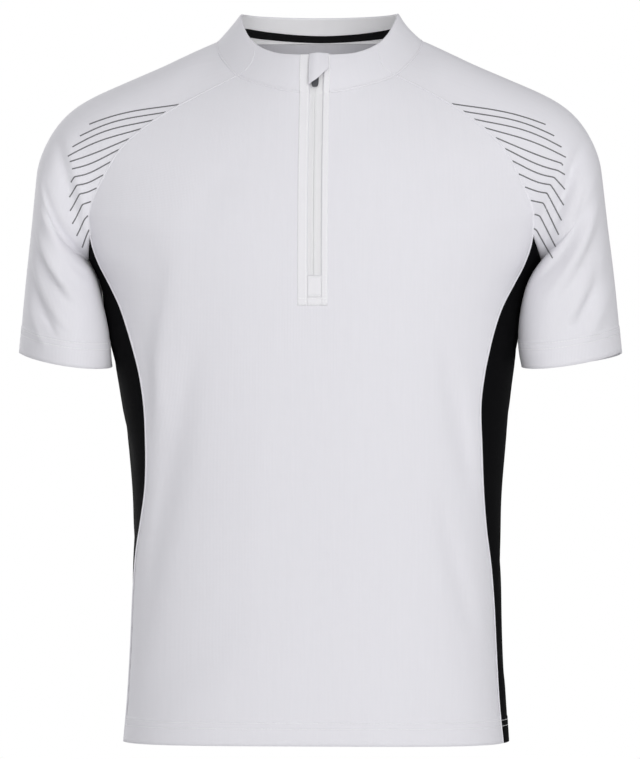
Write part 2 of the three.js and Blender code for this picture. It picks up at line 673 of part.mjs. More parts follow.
function seated(shape) {
  const placed = shape.rotate([-tilt / radians, 0, 0]).translate([zipLine, seat.y, seat.z]);
  const mesh = placed.getMesh();
  const points = [];
  for (let k = 0; k < mesh.vertProperties.length; k += mesh.numProp) {
    points.push(vec(...mesh.vertProperties.slice(k, k + 3)));
  }
  const faces = [];
  for (let k = 0; k < mesh.triVerts.length; k += 3) faces.push([...mesh.triVerts.slice(k, k + 3)]);
  return solidOf(points, faces);
}

const slider = Manifold.union([
  block(-4.3, 4.3, -1.3, -0.3, -5.6, 5.6),
  block(-4.3, 4.3, -4.1, -3.1, -5.6, 5.6),
  block(-1.3, 1.3, -3.2, -1.2, 1.5, 5.6),
  block(-0.9, 0.9, -0.6, 2, 3.2, 4.4),
  block(-0.9, 0.9, -0.6, 2, -2.6, -1.4),
  block(-0.9, 0.9, 1.2, 2, -2.6, 4.4),
]);
add('zip_slider', seated(slider), 'white');

// Pull tab: its top bar lies under the slider's bridge
const tabHead = block(-3.6, 3.6, 0, 0.9, -4.6, 2.8).subtract(block(-1.5, 1.5, -1, 2, -3.4, 1.6));
const tabTip = Manifold.cylinder(0.9, 3.8, 3.8, 24).rotate([90, 0, 0]).translate([0, 0, -15.8]);
const tab = Manifold.union([tabHead, block(-3.8, 3.8, 0, 0.9, -15.8, -4.5), tabTip]);
add('pull_tab', seated(tab), 'grey');

export default jersey;
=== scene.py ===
import bpy
import numpy as np
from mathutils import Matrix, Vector
from mathutils.bvhtree import BVHTree


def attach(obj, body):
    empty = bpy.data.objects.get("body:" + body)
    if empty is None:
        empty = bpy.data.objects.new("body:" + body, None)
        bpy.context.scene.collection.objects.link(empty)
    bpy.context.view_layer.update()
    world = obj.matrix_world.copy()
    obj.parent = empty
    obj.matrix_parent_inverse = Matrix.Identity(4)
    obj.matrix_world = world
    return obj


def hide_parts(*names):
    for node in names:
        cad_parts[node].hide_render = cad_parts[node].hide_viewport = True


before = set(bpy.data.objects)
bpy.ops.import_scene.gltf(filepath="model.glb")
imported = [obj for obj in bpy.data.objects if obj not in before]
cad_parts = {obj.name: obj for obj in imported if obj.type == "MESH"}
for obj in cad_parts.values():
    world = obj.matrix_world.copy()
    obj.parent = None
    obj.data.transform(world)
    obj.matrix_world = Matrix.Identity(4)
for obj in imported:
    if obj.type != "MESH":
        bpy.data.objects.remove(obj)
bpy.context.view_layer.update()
print("frame loaded:", len(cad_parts), "nodes")

mm = 0.001

cut = {
    "neckHalf": 103.0,        # neck seam, centre to side
    "rimHalf": 79.0,          # collar rim, centre to side
    "frontCorner": 50.0,      # raglan seam on the neck, degrees from the front
    "backCorner": 135.0,
    "cornerCurve": 5.5,       # how far that seam curves forward on the collar, degrees
    "fullness": 2.3,          # exponent of the body's rounded sections
    "hem": -697.0,            # heights
    "underarm": -193.6,
    "underarmDip": 24.4,
    "slitFoot": -235.4,
    "patchFoot": -256.2,
    "placketFoot": -264.5,
    "zipLine": 0.4,           # x of the zip's centre, the slit's edges and the placket's edges
    "slitRight": -5.5,
    "slitLeft": 8.5,
    "placketRight": -15.0,
    "placketLeft": 14.5,
    "hemCurve": 3.0,          # the front's hem is higher at its centre
    "hemDepth": 24.0,
    "cuffDepth": 26.0,
    "rowDepths": (1.6, 7.2),  # stitch rows below the turned edge of hem and cuffs
    "knitWall": 1.0,          # thickness of the cloth
    "collarWall": 1.6,
    "tapeWall": 0.7,
}

bodyLength = cut["underarm"] - cut["hem"]
hands = {1: "left", -1: "right"}

# Body sections, hem to neck: half width, depth in front of and behind the side line
body = {
    "z": [-697, -650, -593, -530, -461, -413, -350, -312, -270, -249, -235, -218, -193.6],
    "half": [191.5, 188.4, 185, 184, 184, 187.5, 195, 199.4, 205, 209.5, 215, 225, 236],
    "front": [118, 115, 112, 111, 113, 116, 120, 122.5, 124.5, 125, 125.3, 125, 124],
    "back": [112, 108, 102, 97, 97, 101, 108, 113, 118, 120, 121.2, 122, 122.5],
}
# Front and back of the chest on the centre line, underarm to neck
breast = {
    "r": [0, 0.3, 0.55, 0.8, 1],
    "frontY": [-124, -119.5, -112, -101.5, -92],
    "frontZ": [-193.6, -152, -118, -83.5, -56],
    "backY": [122.5, 120.5, 113, 99.5, 83],
    "backZ": [-193.6, -134, -84.5, -35, 5],
}
# Front edge of the side panel: x by height
sideSeam = {
    "z": [-697, -658, -603, -557, -515, -480, -444, -400, -360, -330, -310, -285, -263, -244,
          -224, -205, -193.6],
    "x": [188.6, 184.8, 181.6, 179.4, 176, 171, 167, 165.6, 166, 170.3, 175.5, 183.2, 191.3, 201,
          211.5, 218.5, 220.7],
}
# Raglan seams, underarm to neck
raglan = {
    "r": [0, 0.1, 0.29, 0.415, 0.53, 0.655, 0.79, 1],
    "frontX": [220.7, 221.4, 204.9, 190.2, 170.5, 147.7, 120.5, 78.9],
    "frontY": [-53.2, -60, -68.5, -70, -69, -66.5, -63, -59.2],
    "frontZ": [-193.6, -172, -132.5, -108, -89.2, -73, -57.5, -35.8],
    "backX": [220.7, 220.5, 206, 189, 171, 147, 118, 72.8],
    "backY": [52.6, 65, 75, 77.5, 78, 76.5, 72, 59],
    "backZ": [-193.6, -171, -133, -105, -80, -54.5, -28, 4],
}
# Neck seam and collar rim by turn from the front, degrees
neck = {
    "turn": [0, 15, 30, 50, 61, 75, 90, 105, 120, 135, 150, 165, 180],
    "seamY": [-92, -88.4, -78, -59.2, -44.6, -23.5, 0, 23.5, 43, 59, 71.5, 80, 83],
    "seamZ": [-56, -53.7, -47.2, -35.8, -25, -12, 0, 4, 4.8, 4, 4.5, 5, 5],
    "rimY": [-80, -77, -68.5, -51, -38.5, -20, 0, 19, 36, 50, 61, 68, 70.5],
    "rimZ": [-17, -16.6, -14.3, -4.6, 4.5, 18.5, 28.2, 30, 30, 30, 30, 30, 30],
}
# How far the collar bows out between seam and rim: all round, more in front than behind, and
# less at the sides, on the left above all
collarBow = {"all": 2.0, "front": 1.0, "sides": 3.3, "left": 0.9}
# Shoulder and outer line of the sleeve: 0 neck, 1 raglan end, 2 gusset point, 3 cuff
shoulder = {
    "s": [0, 0.15, 0.35, 0.55, 0.72, 0.84, 0.93, 1, 1.5, 2, 2.33, 2.66, 3],
    "x": [103, 121, 156, 196, 229, 251, 267, 275, 281.5, 285.5, 290.5, 295.5, 300.5],
    "y": [0, 0.5, 1, 1, 0, -2, -4, -5, -7, -8, -9, -9, -8],
    "z": [0, -6.5, -23, -40, -54, -67, -84.5, -101.5, -128, -155, -205, -254, -309],
}
# Inner line of the sleeve, gusset point to cuff
inseam = {
    "s": [2, 2.15, 2.33, 2.66, 3],
    "x": [225, 220.6, 214.6, 207.6, 204.6],
    "y": [0, -3, -6, -9, -10],
    "z": [-218, -234, -254, -288, -322],
}
# Cloth under the arm, gusset point to cuff, by side: how far the inner line hangs towards the
# body and how far the sleeve's front swells in front of the body; the panel's swell, and how
# far the cuff hangs down between its two edges
underArm = {
    "s": [2, 2.15, 2.33, 2.66, 2.88, 3],
    "left": [0, 3, 3.8, 4.2, 1.5, -1.2],
    "right": [0, 0.8, -1.4, -3, -3, -1.6],
    "leftSwell": [2, 6.4, 5.4, 2.6, 1.6, 0.5],
    "rightSwell": [2, 4.6, 4.8, 6, 5, 2.4],
    "leftPanel": 2.2, "rightPanel": 6.4, "panelHeight": -278.0, "panelReach": 44.0,
    "swellPlace": 0.17, "swellWidth": 0.12, "frontSag": 8.0, "backSag": 4.0,
}
# Depth of the sleeve in front and behind, how far its section is a closed tube, how far it
# leaves its edge outwards, and how much its front leans in
armTube = {
    "s": [0, 0.5, 0.75, 1, 1.33, 1.67, 2, 2.5, 3],
    "front": [60, 64, 66, 66, 66, 66, 66, 61, 58],
    "back": [60, 64, 68, 69, 69, 69, 68, 62, 60],
    "tube": [0, 0.03, 0.16, 0.45, 0.68, 0.87, 1, 1, 1],
    "out": [0, 0, 20, 80, 100, 70, 0, 0, 0],
    "slant": [0, 0, 0, 0, 0, 0, 0, 0.1, 0.16],
}


def ease(t):
    c = np.clip(t, 0, 1)
    return c * c * (3 - 2 * c)


# Cubic through a table's rows; the slope at a row is the mean of the chords beside it.
def readTable(table, key, column, at):
    keys = np.array(table[key], float)
    values = np.array(table[column], float)
    chords = np.diff(values) / np.diff(keys)
    slopes = np.concatenate([chords[:1], (chords[:-1] + chords[1:]) / 2, chords[-1:]])
    row = np.clip(np.searchsorted(keys, at) - 1, 0, len(keys) - 2)
    width = keys[row + 1] - keys[row]
    t = np.clip((at - keys[row]) / width, 0, 1)
    t2 = t * t
    t3 = t2 * t
    return (values[row] * (2 * t3 - 3 * t2 + 1) + values[row + 1] * (3 * t2 - 2 * t3)
            + width * (slopes[row] * (t3 - 2 * t2 + t) + slopes[row + 1] * (t3 - t2)))


def place(x, y, z):
    return np.stack(np.broadcast_arrays(x, y, z), axis=-1).astype(float)


def unit(vectors):
    length = np.linalg.norm(vectors, axis=-1, keepdims=True)
    return vectors / np.maximum(length, 1e-9)


# Depth of the listed creases at a place of the front view. Each is a line from (x0, z0) to
# (x1, z1), bent sideways by bend, that fades over near on one side and far on the other.
def creaseDepth(creases, x, z):
    total = np.zeros(np.broadcast(x, z).shape)
    for x0, z0, x1, z1, bend, near, far, deep in creases:
        dx, dz = x1 - x0, z1 - z0
        long = np.hypot(dx, dz)
        along = ((x - x0) * dx + (z - z0) * dz) / long ** 2
        taper = np.sin(np.pi * np.clip(along, 0, 1))
        off = ((x - x0) * dz - (z - z0) * dx) / long - bend * taper
        wide = np.where(off > 0, near, far) * (0.6 + 0.4 * taper)
        total = total + deep * taper * np.exp(-(off / wide) ** 2)
    return total


# Stand collar: an ellipse half its width across, its y and height read by turn and blended
# from the neck seam (rise 0) to the rim (rise 1), bowed out in front and hollow at the sides.
def collarPoint(turn, rise):
    turn, rise = np.broadcast_arrays(np.asarray(turn, float), np.asarray(rise, float))
    across = np.minimum(np.abs(turn), 360 - np.abs(turn))
    half = cut["neckHalf"] + (cut["rimHalf"] - cut["neckHalf"]) * rise
    outX, outY = np.sin(np.radians(turn)), -np.cos(np.radians(turn))
    hollow = (collarBow["sides"] + collarBow["left"] * outX) * outX ** 2
    bow = (collarBow["all"] - collarBow["front"] * outY - hollow) * np.sin(np.pi * rise)
    y, z = [readTable(neck, "turn", "seam" + axis, across) * (1 - rise)
            + readTable(neck, "turn", "rim" + axis, across) * rise for axis in "YZ"]
    return place((half + bow) * outX, y + bow * outY, z)


# Turn of the seam between the collar's front and back sections.
def cornerTurn(rise):
    return cut["frontCorner"] - cut["cornerCurve"] * np.sin(np.pi * rise)


def turnAt(x, rise):
    half = cut["neckHalf"] + (cut["rimHalf"] - cut["neckHalf"]) * rise
    return np.degrees(np.arcsin(x / half))


# Rounded section: depth times the fullness-th root of one less the share of the half width.
def sectionY(x, half, depth):
    s = np.minimum(np.abs(x) / half, 1)
    return depth * (1 - s ** cut["fullness"]) ** (1 / cut["fullness"])


# The cloth is pulled a little to one side: each shift with the height where it starts and the
# height over which it comes in. The one below the left arm ends again.
pulls = {
    "body": (-4, -40, 120), "waist": (1.6, -340, 80), "hemSeams": (-2.6, -430, 80),
    "leftArm": (-3.4, -50, 40), "leftArmEnd": -345, "leftArmFade": 75,
}


def pullAt(name, z):
    shift, start, over = pulls[name]
    return shift * ease((start - z) / over)


def lean(z):
    return pullAt("body", z) + pullAt("waist", z)


# The front's side seams lie further to the wearer's right at the hem, and so do the left raglan
# seam and the seam below that arm.
def seamShift(z, side):
    underLeft = pullAt("leftArm", z) * ease((z - pulls["leftArmEnd"]) / pulls["leftArmFade"])
    return pullAt("hemSeams", z) + np.where(side > 0, underLeft, 0)


def faceOf(facing):
    return "front" if facing < 0 else "back"


# Side seam below the underarm (level 0 to 1), raglan seam above it (level 1 to 2).
def bodyEdge(level, facing):
    column = faceOf(facing)
    z = cut["hem"] + bodyLength * np.minimum(level, 1)
    x = readTable(sideSeam, "z", "x", z)
    y = facing * sectionY(x, readTable(body, "z", "half", z), readTable(body, "z", column, z))
    high = place(*[readTable(raglan, "r", column + axis, level - 1) for axis in "XYZ"])
    return np.where((level > 1)[..., None], high, place(x, y, z))


# A row of the front or back: below the underarm a rounded section, above it a parabola
# between the centre line and the seam, blended over the first part of the raglan.
def bodyRow(s, level, facing):
    edge = bodyEdge(level, facing)
    column = faceOf(facing)
    edgeX, edgeY, edgeZ = edge[..., 0], edge[..., 1], edge[..., 2]
    middleY = facing * readTable(body, "z", column, edgeZ)
    middleZ = edgeZ + (cut["hemCurve"] * (1 - ease(level / 0.15)) if facing < 0 else 0)
    middleY = np.where(level > 1, readTable(breast, "r", column + "Y", level - 1), middleY)
    middleZ = np.where(level > 1, readTable(breast, "r", column + "Z", level - 1), middleZ)
    reach = np.abs(edgeY / middleY)
    half = edgeX / (1 - reach ** cut["fullness"]) ** (1 / cut["fullness"])
    rounded = facing * sectionY(edgeX * s, half, np.abs(middleY))
    shallow = middleY + (edgeY - middleY) * s * s
    upper = ease((level - 1) / 0.4)
    y = rounded * (1 - upper) + shallow * upper
    return place(edgeX * s, y, middleZ + (edgeZ - middleZ) * s * s)


# Main folds of the body in the front view: x0, z0, x1, z1, bend, near, far, depth
bodyFolds = [
    (-112, -290, -176, -600, 0, 15, 15, -4),
    (-142, -270, -172, -440, 0, 11, 11, 2.6),
    (128, -294, 160, -460, 0, 12, 12, -5),
    (122, -440, 164, -610, 0, 11, 11, -3.6),
]
sleeveFolds = [
    (246, -104, 229, -180, 0, 13, 13, -3),
    (278, -140, 226, -240, 0, 9, 9, -4),
    (288, -180, 240, -262, 0, 9, 9, 3.5),
    (283, -215, 258, -290, 0, 8, 8, -3),
]


# Point of the front (facing -1) or back (facing 1) at a signed distance x from the centre.
def bodyPoint(x, level, facing):
    x, level = np.broadcast_arrays(np.asarray(x, float), np.asarray(level, float))
    s = np.minimum(np.abs(x) / bodyEdge(level, facing)[..., 0], 1)
    point = bodyRow(s, level, facing)
    atNeck = ease((level - 1.72) / 0.28)
    corner = cut["frontCorner"] if facing < 0 else 180 - cut["backCorner"]
    turn = np.degrees(np.arcsin(s * np.sin(np.radians(corner))))
    seam = collarPoint(turn if facing < 0 else 180 - turn, 0)
    top = bodyRow(s, np.full(s.shape, 2.0), facing)
    point[..., 1:] += (seam - top)[..., 1:] * atNeck[..., None]
    z = point[..., 2]
    fold = creaseDepth(bodyFolds, x if facing < 0 else -x, z) * (1 if facing < 0 else 0.8)
    point[..., 1] += facing * fold * ease((1 - s) / 0.12)
    pulled = lean(z) + (seamShift(z, x) if facing < 0 else 0)
    point[..., 0] = x + pulled * s ** 1.5 * (1 - atNeck)
    return point


# Side panel: the rounded section between its seams; across is -1 in front and 1 behind.
def sidePoint(across, level, side):
    across, level = np.broadcast_arrays(np.asarray(across, float), np.asarray(level, float))
    parts = []
    for facing in (-1, 1):
        column = faceOf(facing)
        edge = bodyEdge(level, facing)
        share = np.abs(edge[..., 1]) / readTable(body, "z", column, edge[..., 2])
        angle = np.abs(across) * np.arcsin(share ** (cut["fullness"] / 2))
        dip = cut["underarmDip"] * ease((level - 0.86) / 0.14)
        z = edge[..., 2] - dip * (1 - across ** 2)
        x = readTable(body, "z", "half", z) * np.cos(angle) ** (2 / cut["fullness"])
        y = readTable(body, "z", column, z) * np.sin(angle) ** (2 / cut["fullness"])
        swell = np.exp(-((z - underArm["panelHeight"]) / underArm["panelReach"]) ** 2)
        x = x + underArm[hands[side] + "Panel"] * swell * (1 - across ** 2)
        pulled = lean(z) + seamShift(z, side) * np.maximum(-across, 0) ** 2
        parts.append(place(side * x + pulled, facing * y, z))
    return np.where((across < 0)[..., None], parts[0], parts[1])


# Edge of the sleeve: on the raglan seam, then the side panel's top edge, then the inseam.
def sleeveEdge(station, facing, side):
    level = 2 - np.minimum(station, 1)
    seam = bodyPoint(side * bodyEdge(level, facing)[..., 0], level, facing)
    gusset = sidePoint(facing * (2 - np.clip(station, 1, 2)), np.ones(station.shape), side)
    keep = 1 - 0.5 * ease(station - 2)
    at = [readTable(inseam, "s", axis, np.maximum(station, 2)) for axis in "xyz"]
    snug = readTable(underArm, "s", hands[side], np.maximum(station, 2))
    inner = place(side * (at[0] - snug) + lean(-218.0) * keep, at[1], at[2])
    lower = np.where((station <= 2)[..., None], gusset, inner)
    return np.where((station <= 1)[..., None], seam, lower)


# Each half of the sleeve is one cubic arc from its edge to the shoulder line.
def sleeveArc(across, station, side, facing):
    edge = sleeveEdge(station, facing, side)
    at = [readTable(shoulder, "s", axis, station) for axis in "xyz"]
    top = place(side * at[0], at[1], at[2])
    tube = readTable(armTube, "s", "tube", station)
    depth = 4 * tube * readTable(armTube, "s", faceOf(facing), station)
    quarter = 1.657 * (1 - tube)
    slant = readTable(armTube, "s", "slant", station)
    start = (top - edge) * quarter[..., None] * np.array([1, 0, 1])
    level = 2 - np.minimum(station, 1)
    reach = side * bodyEdge(level, facing)[..., 0]
    next_ = bodyPoint(side * bodyEdge(level - 0.02, facing)[..., 0], level - 0.02, facing)
    normal = unit(np.cross(next_ - edge, edge - bodyPoint(0.95 * reach, level, facing)))
    share = np.where(station < 1, ease((1 - station) / 0.5), 0)
    start = start - normal * (np.sum(start * normal, -1) * share)[..., None]
    start[..., 1] += facing * depth
    start[..., 0] += side * (facing * depth * slant + readTable(armTube, "s", "out", station))
    finishY = -facing * (quarter * np.abs(top - edge)[..., 1] + depth)
    finish = place(-side * facing * depth * slant, finishY, 0)
    t = (1 - np.abs(across))[..., None]
    return (edge * (t * t * (2 * t - 3) + 1) + top * t * t * (3 - 2 * t)
            + start * t * (t - 1) ** 2 + finish * t * t * (t - 1))


# Sleeve: station 0 at the neck to 3 at the cuff; across is -1 at the front edge, 1 behind.
def sleevePoint(across, station, side):
    across, station = np.broadcast_arrays(np.asarray(across, float), np.asarray(station, float))
    halves = []
    for facing in (-1, 1):
        point = sleeveArc(across, station, side, facing)
        atNeck = (1 - ease(station / 0.3))[..., None]
        reach = 90 - cut["frontCorner"] if facing < 0 else cut["backCorner"] - 90
        seam = collarPoint(side * (90 + reach * across), 0)
        point += (seam - sleeveArc(across, np.zeros(station.shape), side, facing)) * atNeck
        t = 1 - np.abs(across)
        sag = underArm[faceOf(facing) + "Sag"]
        point[..., 2] -= sag * ease((station - 2.3) / 0.7) * np.sin(np.pi * t)
        swell = readTable(underArm, "s", hands[side] + "Swell", np.maximum(station, 2))
        swell = swell * ease((station - 1.8) / 0.3)
        near = (t - underArm["swellPlace"]) / underArm["swellWidth"]
        point[..., 0] -= side * swell * np.exp(-near ** 2)
        fold = creaseDepth(sleeveFolds, np.abs(point[..., 0]), point[..., 2])
        fold = fold * (1 if facing < 0 else 0.7)
        point[..., 1] += facing * fold * ease(t / 0.12) * ease((1 - t) / 0.3)
        halves.append(point)
    return np.where((across < 0)[..., None], halves[0], halves[1])


# Directed quads of a grid: along the columns, then up the rows.
def gridFaces(rows, cols, keep=None):
    index = np.arange(rows * cols).reshape(rows, cols)
    quads = np.stack([index[:-1, :-1], index[:-1, 1:], index[1:, 1:], index[1:, :-1]], -1)
    return quads[keep] if keep is not None else quads.reshape(-1, 4)


# Length along the row from its middle column, and along the middle column from its foot.
def gridLengths(points, middle):
    stepsAcross = np.linalg.norm(np.diff(points, axis=1), axis=-1)
    across = np.concatenate([np.zeros((len(points), 1)), np.cumsum(stepsAcross, 1)], 1)
    across -= across[:, middle:middle + 1]
    stepsUp = np.linalg.norm(np.diff(points[:, middle], axis=0), axis=-1)
    up = np.concatenate([[0], np.cumsum(stepsUp)])
    return np.stack(np.broadcast_arrays(across, up[:, None]), -1)


# One mesh object from points in millimetres and faces, with a map in metres on its corners.
def newObject(name, points, faces, cornerMap, finish, rides="jersey"):
    lists = [[v for k, v in enumerate(f) if v != f[k - 1]] for f in faces.tolist()]
    whole = [len(f) == 4 for f in lists]
    if not all(whole):
        kept = np.array([[f[k] != f[k - 1] for k in range(4)] for f in faces.tolist()])
        cornerMap = cornerMap.reshape(-1, 4, 2)[kept]
    mesh = bpy.data.meshes.new(name)
    mesh.from_pydata((points * mm).tolist(), [], lists)
    layer = mesh.uv_layers.new(name="cloth")
    layer.data.foreach_set("uv", (cornerMap.reshape(-1, 2) * mm).ravel())
    mesh.polygons.foreach_set("use_smooth", np.ones(len(mesh.polygons), bool))
    mesh.materials.append(finish)
    mesh.update()
    piece = bpy.data.objects.new(name, mesh)
    bpy.context.scene.collection.objects.link(piece)
    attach(piece, rides)
    return piece


# Points that share a place become one.
def weld(points, faces):
    keys = np.round(points / 0.01).astype(np.int64)
    _, first, back = np.unique(keys, axis=0, return_index=True, return_inverse=True)
    return first, back.reshape(-1)[faces]


def cornerNormals(points, faces):
    a, b, c, d = (points[faces[:, k]] for k in range(4))
    across = np.cross(c - a, d - b)
    total = np.zeros(points.shape)
    for k in range(4):
        np.add.at(total, faces[:, k], across)
    return unit(total)


# Cloth on a grid: an outer face moved out by lift, an inner face a wall behind it, and a
# rounded lip of one bulged row along every free edge. It replaces the CAD's node, if given one.
def clothPiece(name, grid, wall, finish, lift=0.0, keep=None, middle=None, node=None,
               lining=None):
    rows, cols = grid.shape[:2]
    corners = gridFaces(rows, cols, keep)
    used = np.unique(corners)
    renumber = np.zeros(rows * cols, int)
    renumber[used] = np.arange(len(used))
    flat = grid.reshape(-1, 3)[used]
    first, faces = weld(flat, renumber[corners])
    base = flat[first]
    lifts = np.broadcast_to(lift, (rows, cols)).reshape(-1)[used][first][:, None]
    normals = cornerNormals(base, faces)
    lengths = gridLengths(grid, cols // 2 if middle is None else middle).reshape(-1, 2)
    starts = faces.ravel()
    ends = np.roll(faces, -1, axis=1).ravel()
    count = len(base)
    isRim = ~np.isin(ends * count + starts, starts * count + ends)
    a, b = starts[isRim], ends[isRim]
    outward = np.zeros(base.shape)
    pull = unit(np.cross(base[b] - base[a], normals[a]))
    np.add.at(outward, a, pull)
    np.add.at(outward, b, pull)
    outward = unit(outward)
    outer = base + normals * lifts
    inner = base - normals * wall
    lip = (outer + inner) / 2 + outward * (0.35 * wall)
    points = np.concatenate([outer, inner, lip])
    lower = np.stack([a, a + 2 * count, b + 2 * count, b], 1)
    upper = np.stack([a + 2 * count, a + count, b + count, b + 2 * count], 1)
    everyFace = np.concatenate([faces, faces[:, ::-1] + count, lower, upper])
    mapA = lengths[corners.ravel()[isRim]]
    mapB = lengths[np.roll(corners, -1, axis=1).ravel()[isRim]]
    edgeMap = np.stack([mapA, mapA, mapB, mapB], 1)
    cornerMap = np.concatenate([lengths[corners], lengths[corners[:, ::-1]], edgeMap, edgeMap])
    kept, everyFace = dropUnused(points, everyFace)
    piece = newObject(name + "_cloth" if node else name, kept, everyFace, cornerMap, finish)
    if lining:
        piece.data.materials.append(lining)
        isInner = np.zeros(len(everyFace), np.int32)
        isInner[len(faces):2 * len(faces)] = 1
        piece.data.polygons.foreach_set("material_index", isInner)
    if node:
        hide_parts(node)
    return piece


def dropUnused(points, faces):
    used = np.unique(faces)
    renumber = np.zeros(len(points), int)
    renumber[used] = np.arange(len(used))
    return points[used], renumber[faces]


# A path as its points, the direction across it and the direction out of the cloth, spaced
# evenly at about the given step.
def evenPath(points, across, step):
    lengths = np.concatenate([[0], np.cumsum(np.linalg.norm(np.diff(points, axis=0), axis=-1))])
    count = max(int(round(lengths[-1] / step)), 2)
    at = np.linspace(0, lengths[-1], count + 1)
    path = np.stack([np.interp(at, lengths, points[:, k]) for k in range(3)], 1)
    side = np.stack([np.interp(at, lengths, across[:, k]) for k in range(3)], 1)
    run = unit(np.gradient(path, axis=0))
    out = unit(np.cross(side, run))
    return path, unit(np.cross(run, out)), out, run


# Thread along a path: a ring of sides about each point, closed at both ends.
def threadGrid(path, out, radius, sides):
    run = unit(np.gradient(path, axis=0))
    side = unit(np.cross(run, out))
    up = np.cross(side, run)
    angle = np.linspace(0, 2 * np.pi, sides + 1)
    ring = np.cos(angle)[:, None] * side[:, None] + np.sin(angle)[:, None] * up[:, None]
    grid = path[:, None] + ring * radius
    return np.concatenate([np.repeat(path[:1, None], sides + 1, 1), grid,
                           np.repeat(path[-1:, None], sides + 1, 1)])


def plainGrid(name, grid, finish, rides="jersey"):
    corners = gridFaces(*grid.shape[:2])
    flat = grid.reshape(-1, 3)
    first, faces = weld(flat, corners)
    lengths = gridLengths(grid, 0).reshape(-1, 2)
    return newObject(name, flat[first], faces, lengths[corners], finish, rides)


def softPower(value, power):
    return np.sign(value) * np.abs(value) ** power


# Right and left by turns.
def swingOf(count):
    return np.where(np.arange(count) % 2 == 0, 1, -1)[:, None]


# One bead, an ellipsoid by latitude and longitude, copied to every place on three axes.
def beads(places, long, wide, high, rings, sides, power=1.0):
    up = np.linspace(-np.pi / 2, np.pi / 2, rings)[:, None]
    turn = np.linspace(-np.pi, np.pi, sides + 1)[None, :]
    girth = softPower(np.cos(up), power)
    local = place(softPower(np.sin(up), power) + 0 * turn, girth * softPower(np.cos(turn), power),
                  girth * softPower(np.sin(turn), power))
    axes = (long, wide, high)
    parts = [local[None, ..., k, None] * axis[:, None, None] for k, axis in enumerate(axes)]
    return places[:, None, None] + parts[0] + parts[1] + parts[2]


def beadPiece(name, grids, finish):
    count, rows, cols = grids.shape[:3]
    corners = gridFaces(rows, cols)[None] + (np.arange(count) * rows * cols)[:, None, None]
    corners = corners.reshape(-1, 4)
    flat = grids.reshape(-1, 3)
    first, faces = weld(flat, corners)
    lengths = np.concatenate([gridLengths(g, 0).reshape(-1, 2) for g in grids])
    return newObject(name, flat[first], faces, lengths[corners], finish)


def joinPieces(name, pieces):
    bpy.context.view_layer.update()
    with bpy.context.temp_override(active_object=pieces[0], selected_editable_objects=pieces):
        bpy.ops.object.join()
    pieces[0].name = name
    return pieces[0]


def newMaterial(name, look):
    material = bpy.data.materials.new(name)
    material.use_nodes = True
    nodes, links = material.node_tree.nodes, material.node_tree.links
    shader = nodes["Principled BSDF"]
    shader.inputs["Roughness"].default_value = look["roughness"]
    shader.inputs["Specular IOR Level"].default_value = look.get("specular", 0.3)
    shader.inputs["Sheen Weight"].default_value = look.get("sheen", 0.0)
    shader.inputs["Sheen Roughness"].default_value = 0.5
    shader.inputs["Emission Color"].default_value = (1, 1, 1, 1)
    shader.inputs["Emission Strength"].default_value = look.get("glow", 0.0)
    return material, nodes, links, shader


def clothMap(nodes, links, scale):
    source = nodes.new("ShaderNodeUVMap")
    source.uv_map = "cloth"
    mapping = nodes.new("ShaderNodeMapping")
    mapping.inputs["Scale"].default_value = scale
    links.new(source.outputs["UV"], mapping.inputs["Vector"])
    return mapping.outputs["Vector"]


# Scale of a wave texture whose bands lie one metre apart
bandScale = 0.314159


def bandsOf(nodes, links, direction, pitch, distortion=0.0):
    wave = nodes.new("ShaderNodeTexWave")
    wave.bands_direction = direction
    wave.inputs["Scale"].default_value = bandScale / pitch
    wave.inputs["Distortion"].default_value = distortion
    links.new(clothMap(nodes, links, (1, 1, 1)), wave.inputs["Vector"])
    return wave.outputs["Fac"]


def mathNode(nodes, links, operation, first, second):
    node = nodes.new("ShaderNodeMath")
    node.operation = operation
    for socket, value in zip(node.inputs, (first, second)):
        if isinstance(value, (int, float)):
            socket.default_value = value
        else:
            links.new(value, socket)
    return node.outputs["Value"]


# The two colours of a look, mixed by shade.
def mixColours(nodes, links, shader, look, shade):
    mix = nodes.new("ShaderNodeMix")
    mix.data_type = "RGBA"
    mix.inputs[6].default_value = (*look["low"], 1)
    mix.inputs[7].default_value = (*look["high"], 1)
    links.new(shade, mix.inputs[0])
    links.new(mix.outputs[2], shader.inputs["Base Color"])


def dentSurface(nodes, links, shader, look, height, depth):
    bump = nodes.new("ShaderNodeBump")
    bump.inputs["Strength"].default_value = look["relief"]
    bump.inputs["Distance"].default_value = depth
    links.new(height, bump.inputs["Height"])
    links.new(bump.outputs["Normal"], shader.inputs["Normal"])


def noiseNode(nodes, links, scale, detail, source):
    noise = nodes.new("ShaderNodeTexNoise")
    noise.inputs["Scale"].default_value = scale
    noise.inputs["Detail"].default_value = detail
    links.new(source, noise.inputs["Vector"])
    return noise.outputs["Fac"]


# Knit: wales along the length and courses across them press into the surface, and the colour
# drifts a little in long streaks and between wales.
def knitMaterial(name, look):
    material, nodes, links, shader = newMaterial(name, look)
    wales = bandsOf(nodes, links, "X", look["wale"] * mm)
    courses = bandsOf(nodes, links, "Y", look["course"] * mm, 1.5)
    height = mathNode(nodes, links, "MULTIPLY", wales, mathNode(nodes, links, "ADD", courses, 0.6))
    dentSurface(nodes, links, shader, look, height, 0.0003)
    streaks = noiseNode(nodes, links, 1.0, 3.0, clothMap(nodes, links, (420, 16, 1)))
    drift = mathNode(nodes, links, "MULTIPLY", streaks, 0.7)
    shade = mathNode(nodes, links, "ADD", drift, mathNode(nodes, links, "MULTIPLY", wales, 0.3))
    mixColours(nodes, links, shader, look, shade)
    return material


